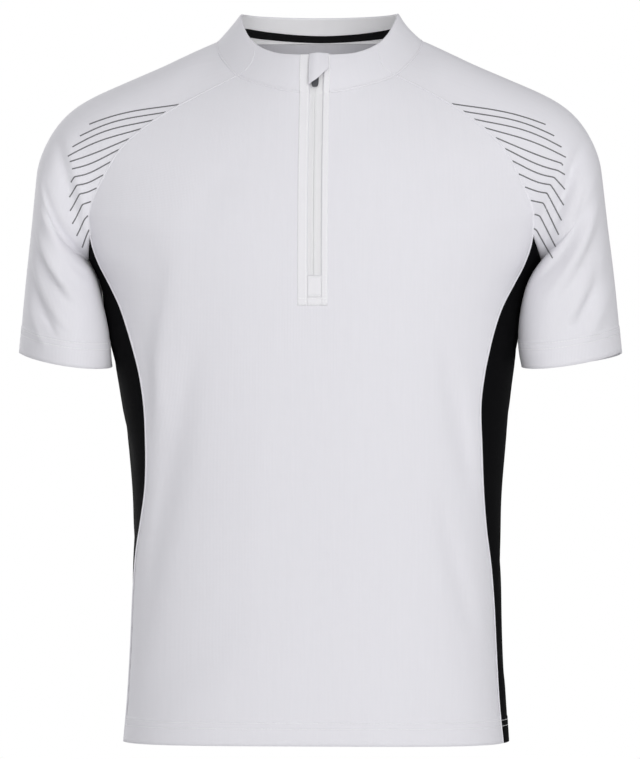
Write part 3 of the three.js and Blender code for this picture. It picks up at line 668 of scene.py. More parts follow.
# Thread, tape and moulded parts: one colour with a fine grain that also dents the surface.
def grainMaterial(name, look):
    material, nodes, links, shader = newMaterial(name, look)
    source = nodes.new("ShaderNodeTexCoord").outputs["Object"]
    grain = noiseNode(nodes, links, look["grain"], 2.0, source)
    mixColours(nodes, links, shader, look, grain)
    dentSurface(nodes, links, shader, look, grain, 0.0002)
    return material


whiteCloth = {"low": (0.762, 0.753, 0.793), "high": (0.802, 0.793, 0.834), "roughness": 0.85,
              "sheen": 0.12}
# Looks by finish: two colours, the spacing of wales and courses in millimetres. The collar's
# lining is painted light: whiter than the rib and glowing a little, to brighten the collar's shaded
# inside as light through thin white cloth would
knitLooks = {
    "whiteKnit": {**whiteCloth, "wale": 1.5, "course": 1.2, "relief": 0.22},
    "whiteRib": {**whiteCloth, "wale": 1.1, "course": 0.9, "relief": 0.25},
    "collarLiningPaintedLight": {"low": (0.93, 0.922, 0.945), "high": (0.965, 0.957, 0.975),
                     "roughness": 0.85, "glow": 0.12, "wale": 1.1, "course": 0.9, "relief": 0.2},
    "blackKnit": {"low": (0.0022, 0.0022, 0.0026), "high": (0.005, 0.005, 0.0058),
                  "roughness": 0.8, "specular": 0.04, "wale": 1.5, "course": 1.2, "relief": 0.4},
    "blackTape": {"low": (0.003, 0.003, 0.0034), "high": (0.007, 0.007, 0.008),
                  "roughness": 0.7, "specular": 0.2, "wale": 0.8, "course": 0.9, "relief": 0.5},
    "zipTape": {"low": (0.8, 0.796, 0.808), "high": (0.848, 0.844, 0.856),
                "roughness": 0.75, "wale": 0.9, "course": 0.7, "relief": 0.4},
    "placketKnit": {"low": (0.808, 0.799, 0.825), "high": (0.856, 0.847, 0.872),
                    "roughness": 0.8, "wale": 1.1, "course": 0.9, "relief": 0.2},
}
grainLooks = {
    "seamThread": {"low": (0.755, 0.746, 0.785), "high": (0.805, 0.796, 0.834),
                   "roughness": 0.7, "grain": 2500, "relief": 0.2},
    # Coil grey: its own colour, darkened with painted shade for the gap between the tapes
    "zipCoilPaintedShade": {"low": (0.62, 0.62, 0.63), "high": (0.72, 0.72, 0.73),
                "roughness": 0.5, "grain": 900, "relief": 0.05},
    "whiteThread": {"low": (0.93, 0.932, 0.94), "high": (0.98, 0.98, 0.985),
                    "roughness": 0.5, "grain": 2500, "relief": 0.2},
    "whitePlastic": {"low": (0.76, 0.765, 0.78), "high": (0.8, 0.805, 0.82),
                     "roughness": 0.35, "grain": 900, "relief": 0.05},
    "greyPlastic": {"low": (0.062, 0.063, 0.07), "high": (0.088, 0.09, 0.098),
                    "roughness": 0.42, "grain": 1400, "relief": 0.1},
    "greyPrint": {"low": (0.15, 0.15, 0.16), "high": (0.19, 0.19, 0.2),
                  "roughness": 0.55, "grain": 1800, "relief": 0.1},
}
finishes = {name: knitMaterial(name, look) for name, look in knitLooks.items()}
finishes.update({name: grainMaterial(name, look) for name, look in grainLooks.items()})
print("finishes made:", len(finishes))


# Low relief of the cloth beside its seams and at its turned edges, millimetres
relief = {
    "dip": 0.2, "dipWidth": 1.7, "collarDip": 0.3, "wave": 0.1, "waveFade": 7,
    "longWave": 3.1, "shortWave": 1.9, "shortShare": 0.6,
    "turned": 0.5, "turnedSlope": 1.6, "groove": 0.3, "grooveWidth": 0.8,
}


# Sewing pucker beside a seam: two uneven waves along it that fade with distance from it,
# and the seam's own dip.
def pucker(distance, along, dip=relief["dip"]):
    short = relief["shortShare"] * np.sin(along / relief["shortWave"] + 2)
    waves = np.sin(along / relief["longWave"]) + short
    fading = relief["wave"] * waves * np.exp(-distance / relief["waveFade"])
    return -dip * np.exp(-(distance / relief["dipWidth"]) ** 2) + fading


# The turned hem stands up by a layer, and each of its stitch rows sinks in a groove.
def hemLift(height, depth):
    grooves = sum(np.exp(-((height - depth + row) / relief["grooveWidth"]) ** 2)
                  for row in cut["rowDepths"])
    layer = relief["turned"] * (1 - ease((height - depth) / relief["turnedSlope"]))
    return layer - relief["groove"] * grooves


# Rows of the body from hem to neck seam, as heights below the underarm and steps above it:
# close together at the hem's stitch rows and at the seams
bodyHeights = np.concatenate([
    np.linspace(cut["hem"], cut["hem"] + 14, 5),
    np.linspace(cut["hem"] + 15, cut["hem"] + 23.2, 17),
    np.linspace(cut["hem"] + cut["hemDepth"], cut["hem"] + cut["hemDepth"] + 2, 4),
    np.linspace(cut["hem"] + 29, cut["placketFoot"], 111),
    np.linspace(cut["placketFoot"], cut["patchFoot"], 4)[1:],
    np.linspace(cut["patchFoot"], cut["slitFoot"], 7)[1:],
    np.linspace(cut["slitFoot"], cut["underarm"], 13)[1:],
])
lowLevels = (bodyHeights - cut["hem"]) / bodyLength
raglanSteps = np.concatenate([np.linspace(0, 0.985, 66)[1:], [0.992, 1.0]])
levels = np.concatenate([lowLevels, 1 + raglanSteps])
halfShares = np.concatenate([np.linspace(0, 0.972, 52), [0.98, 0.987, 0.993, 0.997, 1]])


# Finer creases of the front and back, moved along the cloth's normal
frontCreases = [
    (-222, -178, -150, -236, -6, 20, 26, -2.2),
    (-134, -205, -158, -410, 4, 12, 26, 3.4),
    (-72, -118, -124, -205, 5, 16, 22, -1.3),
    (222, -180, 158, -232, 6, 24, 18, -1.8),
    (-60, -560, -178, -672, 8, 30, 26, -2.2),
    (40, -610, 150, -668, -6, 24, 22, -1.4),
    (-150, -330, -182, -470, 3, 7, 9, 1.3),
    (-168, -420, -180, -560, 2, 6, 7, -1.1),
    (150, -330, 172, -470, -3, 8, 7, 1.2),
    (60, -300, 96, -520, 4, 22, 22, -0.9),
    (-52, -330, -70, -560, -5, 22, 20, 0.8),
    (176, -470, 182, -600, 0, 6, 7, -1.0),
]
backCreases = [
    (-60, -90, -96, -230, 8, 22, 18, -4.2),
    (70, -96, 104, -246, -8, 20, 22, -4.5),
    (-210, -190, -120, -262, -8, 16, 22, -5.5),
    (214, -186, 128, -250, 8, 20, 16, -4.8),
    (-30, -420, -150, -520, 12, 20, 16, -4.9),
    (40, -400, 156, -486, -10, 16, 20, -4.5),
    (-20, -500, -140, -590, 10, 18, 14, 3.4),
    (24, -470, 150, -560, -12, 15, 18, 3.8),
    (-6, -120, 4, -330, 4, 26, 22, -2.5),
    (-150, -560, -120, -668, 4, 16, 14, -2.9),
    (146, -550, 110, -664, -6, 14, 16, -2.7),
]


def gridNormals(grid):
    return unit(np.cross(np.gradient(grid, axis=1), np.gradient(grid, axis=0)))


# Front or back on its grid: columns by signed distance, fine creases along the normal.
def bodyGrid(columns, facing, creases):
    grid = bodyPoint(columns, levels[:, None], facing)
    edge = bodyEdge(levels, facing)[:, 0][:, None]
    away = (edge - np.abs(columns)) if columns.ndim == 2 else edge
    hold = ease(away / 22) * ease((2 - levels[:, None]) / 0.12)
    depth = creaseDepth(creases, grid[..., 0], grid[..., 2]) * hold
    grid = grid + gridNormals(grid) * depth[..., None]
    return grid, away


# Columns over the placket and the slit in it
placketColumns = [cut["placketRight"], -12.6, -10.2, -7.8, cut["slitRight"], -2.6, 0.4, 3.2, 6,
                  cut["slitLeft"], 10.5, 12.5, cut["placketLeft"]]


def frontColumns():
    edge = bodyEdge(levels, -1)[:, 0][:, None]
    right = cut["placketRight"] - (edge + cut["placketRight"]) * halfShares[None, :0:-1]
    left = cut["placketLeft"] + (edge - cut["placketLeft"]) * halfShares[None, 1:]
    middle = np.broadcast_to(np.array(placketColumns), (len(levels), len(placketColumns)))
    return np.concatenate([right, middle, left], 1)


slitRow, patchRow, placketRow = [int(np.argmin(np.abs(bodyHeights - cut[foot])))
                                 for foot in ("slitFoot", "patchFoot", "placketFoot")]
slitFirst = len(halfShares) - 1 + placketColumns.index(cut["slitRight"])
slitLast = len(halfShares) - 1 + placketColumns.index(cut["slitLeft"])


def bodyLift(away, along):
    return hemLift((levels * bodyLength)[:, None], cut["hemDepth"]) + pucker(away, along)


def buildFront():
    columns = frontColumns()
    grid, away = bodyGrid(columns, -1, frontCreases)
    keep = np.ones((len(levels) - 1, columns.shape[1] - 1), bool)
    keep[slitRow:, slitFirst:slitLast] = False
    along = levels[:, None] * 500
    piece = clothPiece("front", grid, cut["knitWall"], finishes["whiteKnit"],
                       bodyLift(away, along), keep, slitFirst + 2, node="front")
    return piece, grid


def buildBack():
    edge = bodyEdge(levels, 1)[:, 0][:, None]
    shares = np.concatenate([halfShares[::-1], -halfShares[1:]])
    columns = edge * shares[None]
    grid, away = bodyGrid(columns, 1, backCreases)
    along = levels[:, None] * 500 + 40
    return clothPiece("back", grid, cut["knitWall"], finishes["whiteKnit"],
                      bodyLift(away, along), node="back"), grid


sideCreases = [
    (-30, -260, 26, -330, 5, 9, 12, -1.6),
    (-10, -360, 40, -430, -5, 10, 9, -1.4),
    (34, -470, -16, -560, 5, 12, 10, -1.5),
    (-34, -560, 12, -640, 4, 10, 12, -1.2),
]


# The side panels are creased by depth instead of width: their creases lie in the side view.
def buildSide(side, name):
    shares = np.concatenate([[-1, -0.985, -0.96], np.linspace(-0.92, 0.92, 25), [0.96, 0.985, 1]])
    if side < 0:
        shares = shares[::-1]
    grid = sidePoint(shares[None], lowLevels[:, None], side)
    hold = ease((1 - np.abs(shares)[None]) / 0.3) * ease((1 - lowLevels[:, None]) / 0.06)
    depth = creaseDepth(sideCreases, side * grid[..., 1], grid[..., 2]) * hold
    grid = grid + gridNormals(grid) * depth[..., None]
    away = (1 - np.abs(shares))[None] * 60
    heights = (lowLevels * bodyLength)[:, None]
    lift = hemLift(heights, cut["hemDepth"]) + pucker(away, heights * 0.99)
    return clothPiece(name, grid, cut["knitWall"], finishes["blackKnit"], lift, node=name), grid


# Columns of the sleeve from its front edge to its back one, and rows from cuff to neck
sleeveShares = np.concatenate([[-1, -0.992, -0.98], np.linspace(-0.965, 0.965, 118),
                               [0.98, 0.992, 1]])
stations = np.concatenate([
    np.linspace(3, 2.89, 5), np.linspace(2.885, 2.73, 40), np.linspace(2.715, 2, 27),
    np.linspace(1.97, 1.0, 22)[:-1], 1 - np.concatenate([[0], raglanSteps]),
])

# Creases of the sleeves in the front view, by side: x0, z0, x1, z1, bend, near, far, depth
sleeveCreases = {
    1: [
        (254, -92, 210, -208, -2, 9, 2.4, 2.4),
        (264, -94, 219, -214, -2, 4, 8, -7),
        (270, -142, 214, -244, -9, 5, 8, -4.2),
        (280, -150, 224, -258, -9, 5.5, 5, 3.2),
        (283, -176, 226, -272, -8, 5, 7, -3.6),
        (286, -204, 238, -288, -6, 6, 6, 3.2),
        (279, -216, 252, -290, -4, 5, 6, -3.4),
        (292, -236, 262, -306, -3, 6, 6, 2.2),
    ],
    -1: [
        (-251, -86, -219, -212, 0, 2.4, 9, 2.0),
        (-260, -90, -227, -214, 0, 8, 4.5, -4.6),
        (-272, -138, -226, -226, 7, 6, 4.5, -3.4),
        (-276, -156, -228, -240, 7, 5, 4, 3.4),
        (-272, -176, -226, -238, 5, 5, 4, -3.4),
        (-280, -182, -230, -258, 8, 5, 4.5, 3.4),
        (-281, -192, -232, -272, 8, 5, 4, -4),
        (-284, -204, -244, -290, 6, 5, 4.5, 3.4),
        (-287, -218, -255, -298, 5, 5, 4, -3.4),
        (-290, -240, -266, -308, 4, 5, 4.5, 2.4),
    ],
}
sleeveBackCreases = [
    (262, -130, 220, -226, -6, 7, 9, -3.6),
    (280, -150, 226, -244, -7, 7, 7, 2.6),
    (284, -176, 232, -262, -6, 6, 8, -3.0),
    (286, -200, 240, -284, -5, 7, 7, 2.2),
    (288, -226, 252, -300, -4, 6, 8, -2.2),
    (236, -96, 214, -176, -3, 9, 6, -2.6),
]


# Length along every column from its foot.
def columnLengths(grid):
    steps = np.linalg.norm(np.diff(grid, axis=0), axis=-1)
    return np.concatenate([np.zeros((1, grid.shape[1])), np.cumsum(steps, 0)])


# Cloth rounds off over the shoulder's cap: each point moves towards the mean of its
# neighbours, again and again.
def relaxed(grid, share, times):
    for _ in range(times):
        mean = (grid[:-2, 1:-1] + grid[2:, 1:-1] + grid[1:-1, :-2] + grid[1:-1, 2:]) / 4
        grid[1:-1, 1:-1] += (mean - grid[1:-1, 1:-1]) * (0.5 * share[1:-1, 1:-1, None])
    return grid


def buildSleeve(side, name):
    shares = sleeveShares if side > 0 else sleeveShares[::-1]
    across, station = shares[None], stations[:, None]
    grid = sleevePoint(across, np.maximum(station, 0), side)
    t = 1 - np.abs(across)
    loose = ease((station - 0.4) / 0.35) * ease((2.5 - station) / 0.6) * ease(t / 0.07)
    grid = relaxed(grid, loose, 90)
    hold = ease(t / 0.1) * ease(station / 0.2)
    ahead = creaseDepth(sleeveCreases[side], grid[..., 0], grid[..., 2])
    behind = creaseDepth(sleeveBackCreases, np.abs(grid[..., 0]), grid[..., 2])
    share = ease((across + 0.12) / 0.24)
    depth = (ahead * (1 - share) + behind * share) * hold
    grid = grid + gridNormals(grid) * depth[..., None]
    cuff = columnLengths(grid)
    onSeam = np.where(station < 2, t * 190, 90)
    lift = hemLift(cuff, cut["cuffDepth"]) + pucker(onSeam, station * 200)
    return clothPiece(name, grid, cut["knitWall"], finishes["whiteKnit"], lift, node=name), grid


front, frontGrid = buildFront()
back, backGrid = buildBack()
sides, sideGrids, sleeves, sleeveGrids = {}, {}, {}, {}
for side, hand in hands.items():
    sides[side], sideGrids[side] = buildSide(side, "side_panel_" + hand)
    sleeves[side], sleeveGrids[side] = buildSleeve(side, "sleeve_" + hand)
print("panels made")

collarRises = np.concatenate([[0, 0.02, 0.045], np.linspace(0.08, 0.94, 22), [0.97, 1]])


def collarSection(name, turns):
    grid = collarPoint(turns, collarRises[:, None])
    lift = pucker(collarRises[:, None] * 45, turns * 2.2, relief["collarDip"])
    rim = 0.25 * np.exp(-((collarRises[:, None] - 0.9) / 0.08) ** 2)
    # The inner faces take the collar lining, painted light: whiter than the rib and glowing a little
    return clothPiece(name, grid, cut["collarWall"], finishes["whiteRib"], lift + rim, node=name,
                      lining=finishes["collarLiningPaintedLight"])


def buildCollar():
    rises = collarRises[:, None]
    f = np.linspace(0, 1, 34)[None]
    rightEnd = turnAt(cut["slitRight"], rises)
    leftEnd = turnAt(cut["slitLeft"], rises)
    corner = cornerTurn(rises)
    right = collarSection("collar_front_right", -corner + (rightEnd + corner) * f)
    left = collarSection("collar_front_left", leftEnd + (corner - leftEnd) * f)
    rear = collarSection("collar_back", corner + (360 - 2 * corner) * np.linspace(0, 1, 160)[None])
    return right, left, rear


collars = buildCollar()
print("collar made")


# Placket, tapes, coil, garage and neck tape: gaps, walls and lifts in millimetres
zipCut = {
    "bandGap": 0.1, "bandSeat": 0.25, "bandWall": 0.2, "bandLift": 0.3, "bandEdge": 0.22,
    "barLift": 0.25, "patchGap": 0.2, "patchLift": 0.2,
    "tapeBehind": 1.3, "tapeGap": 0.16, "tapeOpen": 2.0, "tapeHump": 0.45,
    "tapeRight": -10.5, "tapeLeft": 13.0,
    "toothStep": 0.62, "toothSwing": 0.9, "toothHalf": (1.6, 0.42, 0.5), "coilBehind": 2.0,
    "garageHang": 2.1, "neckTapeBehind": 2.0,
    "rowInset": 1.3, "slitRowInset": 1.4, "barRowInset": 1.2, "rowLift": 0.62, "barRowLift": 0.6,
}


# Band on the front from a row below the slit to the collar's rim, at the given places x.
def bandGrid(xs, fromRow):
    low = bodyPoint(np.array(xs)[None], levels[fromRow:, None], -1)
    rises = collarRises[1:, None]
    return np.concatenate([low, collarPoint(turnAt(np.array(xs)[None], rises), rises)])


# A piece of the placket, seated on the front.
def placketPiece(name, grid, lift, node=None):
    seated = grid + gridNormals(grid) * zipCut["bandSeat"]
    return clothPiece(name, seated, zipCut["bandWall"], finishes["placketKnit"], lift, node=node)


def buildPlacket():
    gap = zipCut["bandGap"]
    right = np.linspace(cut["placketRight"], cut["slitRight"] - gap, 9)
    left = np.linspace(cut["slitLeft"] + gap, cut["placketLeft"], 7)
    bands = []
    for k, xs in enumerate((right, left)):
        grid = bandGrid(xs, placketRow)
        share = np.abs(np.linspace(-1, 1, len(xs)))[None]
        lift = zipCut["bandLift"] - zipCut["bandEdge"] * share ** 4
        bands.append(placketPiece(f"band{k}", grid, lift))
    xs = np.linspace(cut["slitRight"], cut["slitLeft"], 9)[None]
    bar = bodyPoint(xs, levels[placketRow:patchRow + 1, None], -1)
    bands.append(placketPiece("bar", bar, zipCut["barLift"]))
    placket = joinPieces("zip_placket_cloth", bands)
    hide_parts("zip_placket")
    gap = zipCut["patchGap"]
    xs = np.linspace(cut["slitRight"] + gap, cut["slitLeft"] - gap, 9)[None]
    patch = bodyPoint(xs, levels[patchRow:slitRow + 1, None], -1)
    return placket, placketPiece("zip_end_patch", patch, zipCut["patchLift"], "zip_end_patch")


placket, endPatch = buildPlacket()


# Zip tapes behind the slit, with a low hump over the coil; above the slider their inner edges
# stand apart.
def buildTapes():
    rises = collarRises[1:-1, None]
    tapes = {}
    for side, outerEdge in ((-1, zipCut["tapeRight"]), (1, zipCut["tapeLeft"])):
        name = "zip_tape_" + hands[side]
        f = np.array([0, 0.04, 0.09, 0.16, 0.24, 0.33, 0.45, 0.6, 0.8, 1.0])
        hump = zipCut["tapeHump"] * np.exp(-((f - 0.13) / 0.09) ** 2)
        if side < 0:
            f, hump = f[::-1], hump[::-1]
        lowInner = cut["zipLine"] + side * zipCut["tapeGap"]
        opening = zipCut["tapeGap"] + zipCut["tapeOpen"] * ease((rises - 0.5) / 0.2)
        highInner = cut["zipLine"] + side * opening
        lowRows = levels[slitRow - 2:, None]
        low = bodyPoint(lowInner + (outerEdge - lowInner) * f[None] + 0 * lowRows, lowRows, -1)
        high = collarPoint(turnAt(highInner + (outerEdge - highInner) * f[None], rises), rises)
        grid = np.concatenate([low, high])
        grid = grid - gridNormals(grid) * (zipCut["tapeBehind"] - hump[None, :, None])
        tapes[side] = clothPiece(name, grid, cut["tapeWall"], finishes["zipTape"], node=name)
    return tapes


tapes = buildTapes()


# Coil: a small bar for every tooth, by turns from the right and left tape, behind the gap. Its grey is
# partly the coil's own colour and partly painted shade, darker so that the gap between the tapes reads
# as a dark line.
def buildCoil():
    rises = collarRises[1:, None]
    low = bodyPoint(np.full((1, 1), cut["zipLine"]), levels[slitRow - 1:, None], -1)
    high = collarPoint(turnAt(np.full((1, 1), cut["zipLine"]), rises[:16]), rises[:16])
    path = np.concatenate([low, high])[:, 0]
    across = np.broadcast_to([1.0, 0, 0], path.shape)
    path, side, out, run = evenPath(path, across, zipCut["toothStep"])
    path = path - out * zipCut["coilBehind"]
    long, wide, high = zipCut["toothHalf"]
    places = path + side * swingOf(len(path)) * zipCut["toothSwing"]
    teeth = beads(places, side * long, run * wide, out * high, 5, 6)
    return beadPiece("zip_coil", teeth, finishes["zipCoilPaintedShade"])


coil = buildCoil()


# Garage: a flap over the zip's top end, cut slanting at its lower edge; its foot as a rise on
# the collar
garageCut = {
    "x": [-5.7, 0.5, 7, 12.9],
    "foot": [0.2, 0.32, 0.46, 0.62],
    "lift": [1.2, 2.9, 2.5, 1.4],
}


def buildGarage():
    xs = np.linspace(garageCut["x"][0], garageCut["x"][-1], 20)[None]
    k = np.linspace(0, 1, 17)[:, None]
    foot = readTable(garageCut, "x", "foot", xs)
    rise = foot + (1 - foot) * k
    grid = collarPoint(turnAt(xs, rise), rise)
    lift = readTable(garageCut, "x", "lift", xs) + (1 - k) * zipCut["garageHang"] + cut["tapeWall"]
    grid = grid + gridNormals(grid) * lift[..., None]
    return clothPiece("zip_garage", grid, cut["tapeWall"], finishes["whiteRib"], node="zip_garage")


garage = buildGarage()


# Tape inside the collar's back, rising towards the shoulders.
def buildNeckTape():
    turns = np.linspace(92, 268, 120)[None]
    climb = 0.22 * ease(np.abs(turns - 180) / 62)
    rises = np.linspace(0.06, 0.33, 9)[:, None] + climb
    grid = collarPoint(turns, rises)
    grid = grid - gridNormals(grid) * zipCut["neckTapeBehind"]
    return clothPiece("neck_tape", grid, cut["tapeWall"], finishes["blackTape"], node="neck_tape")


neckTape = buildNeckTape()
print("zip, garage and neck tape made")

# Sewing: stitches are short beads in a row, a flatlock seam is a thread that swings from one
# edge of its band to the other. Widths, spacings and radii in millimetres
sewing = {
    "stitch": 2.4, "stitchGap": 0.7, "thread": 0.28, "bandStep": 1.6,
    "raglan": {"half": 0.9, "swing": 0.8, "radius": 0.15, "lift": -0.05, "rise": 0.14},
    "side": {"half": 0.7, "swing": 0.8, "radius": 0.17, "lift": 0.1, "rise": 0.3},
    "collar": {"half": 0.7, "swing": 0.8, "radius": 0.14, "lift": -0.05, "rise": 0.13},
}


def stitchRow(path, across, lift):
    spots, side, out, run = evenPath(path, across, sewing["stitch"] + sewing["stitchGap"])
    spots = (spots[1:] + spots[:-1]) / 2 + (out * lift)[1:]
    long = run[1:] * sewing["stitch"] / 2
    wide = side[1:] * sewing["thread"]
    return beads(spots, long, wide, out[1:] * sewing["thread"] * 0.8, 5, 5, 0.8)


def swungThread(path, across, look):
    spots, side, out, _ = evenPath(path, across, look["swing"])
    swing = side * swingOf(len(spots)) * look["half"] * 0.86
    corners = spots + swing + out * (look["lift"] + look["rise"] * 0.5)
    middles = (corners[1:] + corners[:-1]) / 2 + out[1:] * look["rise"] * 0.55
    thread = np.empty((len(corners) * 2 - 1, 3))
    thread[::2], thread[1::2] = corners, middles
    outs = np.repeat(out, 2, axis=0)[:-1]
    return threadGrid(thread, outs, look["radius"], 5)


# Covered seam: a low domed band over the seam and the thread that swings across it.
def flatlock(name, runs, look):
    parts = []
    offsets = np.linspace(-1, 1, 7)[None, :, None]
    for k, (path, across) in enumerate(runs):
        spots, side, out, _ = evenPath(path, across, sewing["bandStep"])
        dome = look["rise"] * (1 - offsets ** 4) + look["lift"] - 0.12 * np.abs(offsets)
        grid = spots[:, None] - side[:, None] * offsets * look["half"] + out[:, None] * dome
        parts.append(clothPiece(f"band{k}", grid, look["rise"] + 0.25, finishes["seamThread"]))
        thread = swungThread(path, across, look)
        parts.append(plainGrid(f"thread{k}", thread, finishes["seamThread"]))
    return joinPieces(name, parts)


lowRows = len(lowLevels)
sleeveTop = len(raglanSteps) + 1


# Column a few steps in from the first (0) or the last (-1) one.
def inward(edge, steps):
    return edge + steps if edge == 0 else edge - steps


# The seam's path is the panel's edge; across it points from the panel to its neighbour, or back.
def seamRun(panel, edge, neighbour, steps, sign):
    across = neighbour[:, inward(-1 - edge, steps)] - panel[:, inward(edge, 3)]
    return panel[:, edge], across * sign


def buildSeams():
    seams = {}
    for side, hand in hands.items():
        sleeve = sleeveGrids[side][-sleeveTop:]
        frontEdge = -1 if side > 0 else 0
        bodies = ((frontGrid, frontEdge, side), (backGrid, -1 - frontEdge, -side))
        raglans = [seamRun(grid[lowRows - 1:], edge, sleeve, 3, sign)
                   for grid, edge, sign in bodies]
        flanks = [seamRun(grid[:lowRows], edge, sideGrids[side], 2, sign)
                  for grid, edge, sign in bodies]
        for name, runs, look in (("raglan_seams_", raglans, "raglan"), ("side_seams_", flanks, "side")):
            seams[name + hand] = flatlock(name + hand, runs, sewing[look])
    return seams


def buildCollarSeams():
    rises = np.linspace(0.03, 0.985, 24)
    runs = []
    for turn in (-cornerTurn(rises), cornerTurn(rises)):
        path = collarPoint(turn, rises)
        runs.append((path, collarPoint(turn + 2, rises) - collarPoint(turn - 2, rises)))
    turns = np.concatenate([np.linspace(turnAt(cut["placketLeft"], 0) + 0.3, 180, 110),
                            np.linspace(180, 360 + turnAt(cut["placketRight"], 0) - 0.3, 110)[1:]])
    path = collarPoint(turns, 0.018)
    runs.append((path, collarPoint(turns, 0.0) - collarPoint(turns, 0.05)))
    joins = flatlock("collar_seams", runs, sewing["collar"])
    rows = []
    rise = 0.07
    for start, end in ((-49, -9.5), (8.5, 49)):
        turns = np.linspace(start, end, 40)
        path = collarPoint(turns, rise)
        across = collarPoint(turns, rise - 0.05) - collarPoint(turns, rise + 0.05)
        rows.append(stitchRow(path, across, 0.05))
    return joins, beadPiece("collar_stitches", np.concatenate(rows), finishes["seamThread"])


# Path at a height above the grid's foot, and the direction down across it.
def rowAt(grid, lengths, height, lift):
    columns = np.arange(grid.shape[1])
    k = np.argmax(lengths >= height, axis=0)
    below, above = lengths[k - 1, columns], lengths[k, columns]
    f = ((height - below) / (above - below))[:, None]
    path = grid[k - 1, columns] * (1 - f) + grid[k, columns] * f
    return path + gridNormals(grid)[k, columns] * lift, grid[k - 2, columns] - grid[k + 1, columns]


# Two rows of stitches just below the top of a turned edge, on the raised cloth.
def turnedRows(grid, lengths, depth):
    rows = []
    for rowDepth in cut["rowDepths"]:
        path, across = rowAt(grid, lengths, depth - rowDepth, relief["turned"])
        rows.append(stitchRow(path, across, 0.06))
    return rows


def buildHemStitches():
    heights = (bodyHeights - cut["hem"])[:, None]
    rows = []
    for grid in (frontGrid[:lowRows], backGrid[:lowRows], sideGrids[1], sideGrids[-1]):
        rows += turnedRows(grid, heights + 0 * grid[..., 0], cut["hemDepth"])
    hem = beadPiece("hem_stitches", np.concatenate(rows), finishes["whiteThread"])
    cuffs = []
    for side, hand in hands.items():
        grid = sleeveGrids[side]
        rows = np.concatenate(turnedRows(grid, columnLengths(grid), cut["cuffDepth"]))
        cuffs.append(beadPiece("cuff_stitches_" + hand, rows, finishes["whiteThread"]))
    return hem, cuffs


# Topstitching of the placket: a row near each edge of both bands, and round the bar.
def buildPlacketStitches():
    inset, slitInset = zipCut["rowInset"], zipCut["slitRowInset"]
    first, last = cut["placketRight"] + inset, cut["placketLeft"] - inset
    rows = []
    for x in (first, cut["slitRight"] - slitInset, cut["slitLeft"] + inset, last):
        column = bandGrid([x - 1, x, x + 1], placketRow + 1)
        path = column[:, 1] + gridNormals(column)[:, 1] * zipCut["rowLift"]
        rows.append(stitchRow(path[::-1], column[::-1, 2] - column[::-1, 0], 0.05))
    wide = np.linspace(first, last, 16)
    narrow = np.linspace(cut["slitRight"] + 1, cut["slitLeft"] - 1, 9)
    patchFoot, barInset = cut["patchFoot"], zipCut["barRowInset"]
    for height, xs in ((cut["placketFoot"] + inset, wide), (patchFoot - barInset, wide),
                       (patchFoot + barInset, narrow)):
        level = (height - cut["hem"]) / bodyLength
        around = np.array([level - 0.002, level, level + 0.002])
        strip = bodyPoint(xs[None], around[:, None], -1)
        path = strip[1] + gridNormals(strip)[1] * zipCut["barRowLift"]
        rows.append(stitchRow(path, strip[0] - strip[2], 0.05))
    return beadPiece("placket_stitches", np.concatenate(rows), finishes["whiteThread"])


seams = buildSeams()
collarSeams, collarStitches = buildCollarSeams()
hemStitches, cuffStitches = buildHemStitches()
placketStitches = buildPlacketStitches()
print("sewing made")

# Printed pin lines on the front of each sleeve, as a series by number: each starts at the
# raglan seam, bows a little, meets the sleeve's front fold and turns down behind it
pinLines = {
    "count": 12, "firstStation": 0.273, "lastStation": 0.97, "width": 1.15,
    "seamGap": 1.2, "step": 0.7, "lift": 0.2, "wall": 0.25, "softening": 4,
    "number": [0, 1.5, 3, 4, 5, 7, 9, 11],
    "bow": [3.5, 5, 3.4, -1, -2.2, -1.8, 0, 0],
    "left": {"foldX": [226, 238.3, 246, 242, 238, 231, 224, 217],
             "foldZ": [-85, -102, -118, -124, -131, -145, -163, -189],
             "endX": [226, 238.3, 246, 243, 245, 244, 239, 233],
             "endZ": [-85, -102, -119, -126, -135, -165, -194, -217]},
    "right": {"foldX": [225.5, 238.2, 245.8, 243.7, 241.2, 236.6, 231.4, 229],
              "foldZ": [-83.5, -101, -115.7, -121.2, -128.4, -144.5, -163.5, -194.7],
              "endX": [225.5, 238.2, 245.8, 243.7, 241.2, 244.5, 241.9, 234],
              "endZ": [-83.5, -101, -115.7, -121.2, -128.4, -156.1, -182.4, -205.4]},
}


# The place and normal where a line of sight from the front first meets the sleeve.
def onSleeveFront(tree, x, z):
    places = zip(x.ravel(), z.ravel())
    hits = [tree.ray_cast(Vector((a, -400, b)), Vector((0, 1, 0))) for a, b in places]
    missed = (np.nan,) * 3
    spots = np.array([tuple(hit[0] or missed) for hit in hits]).reshape(*x.shape, 3)
    out = np.array([tuple(hit[1] or missed) for hit in hits]).reshape(*x.shape, 3)
    met = np.isfinite(spots).all(axis=(1, 2))
    return spots[met], out[met] * np.sign(-out[met][..., 1:2])


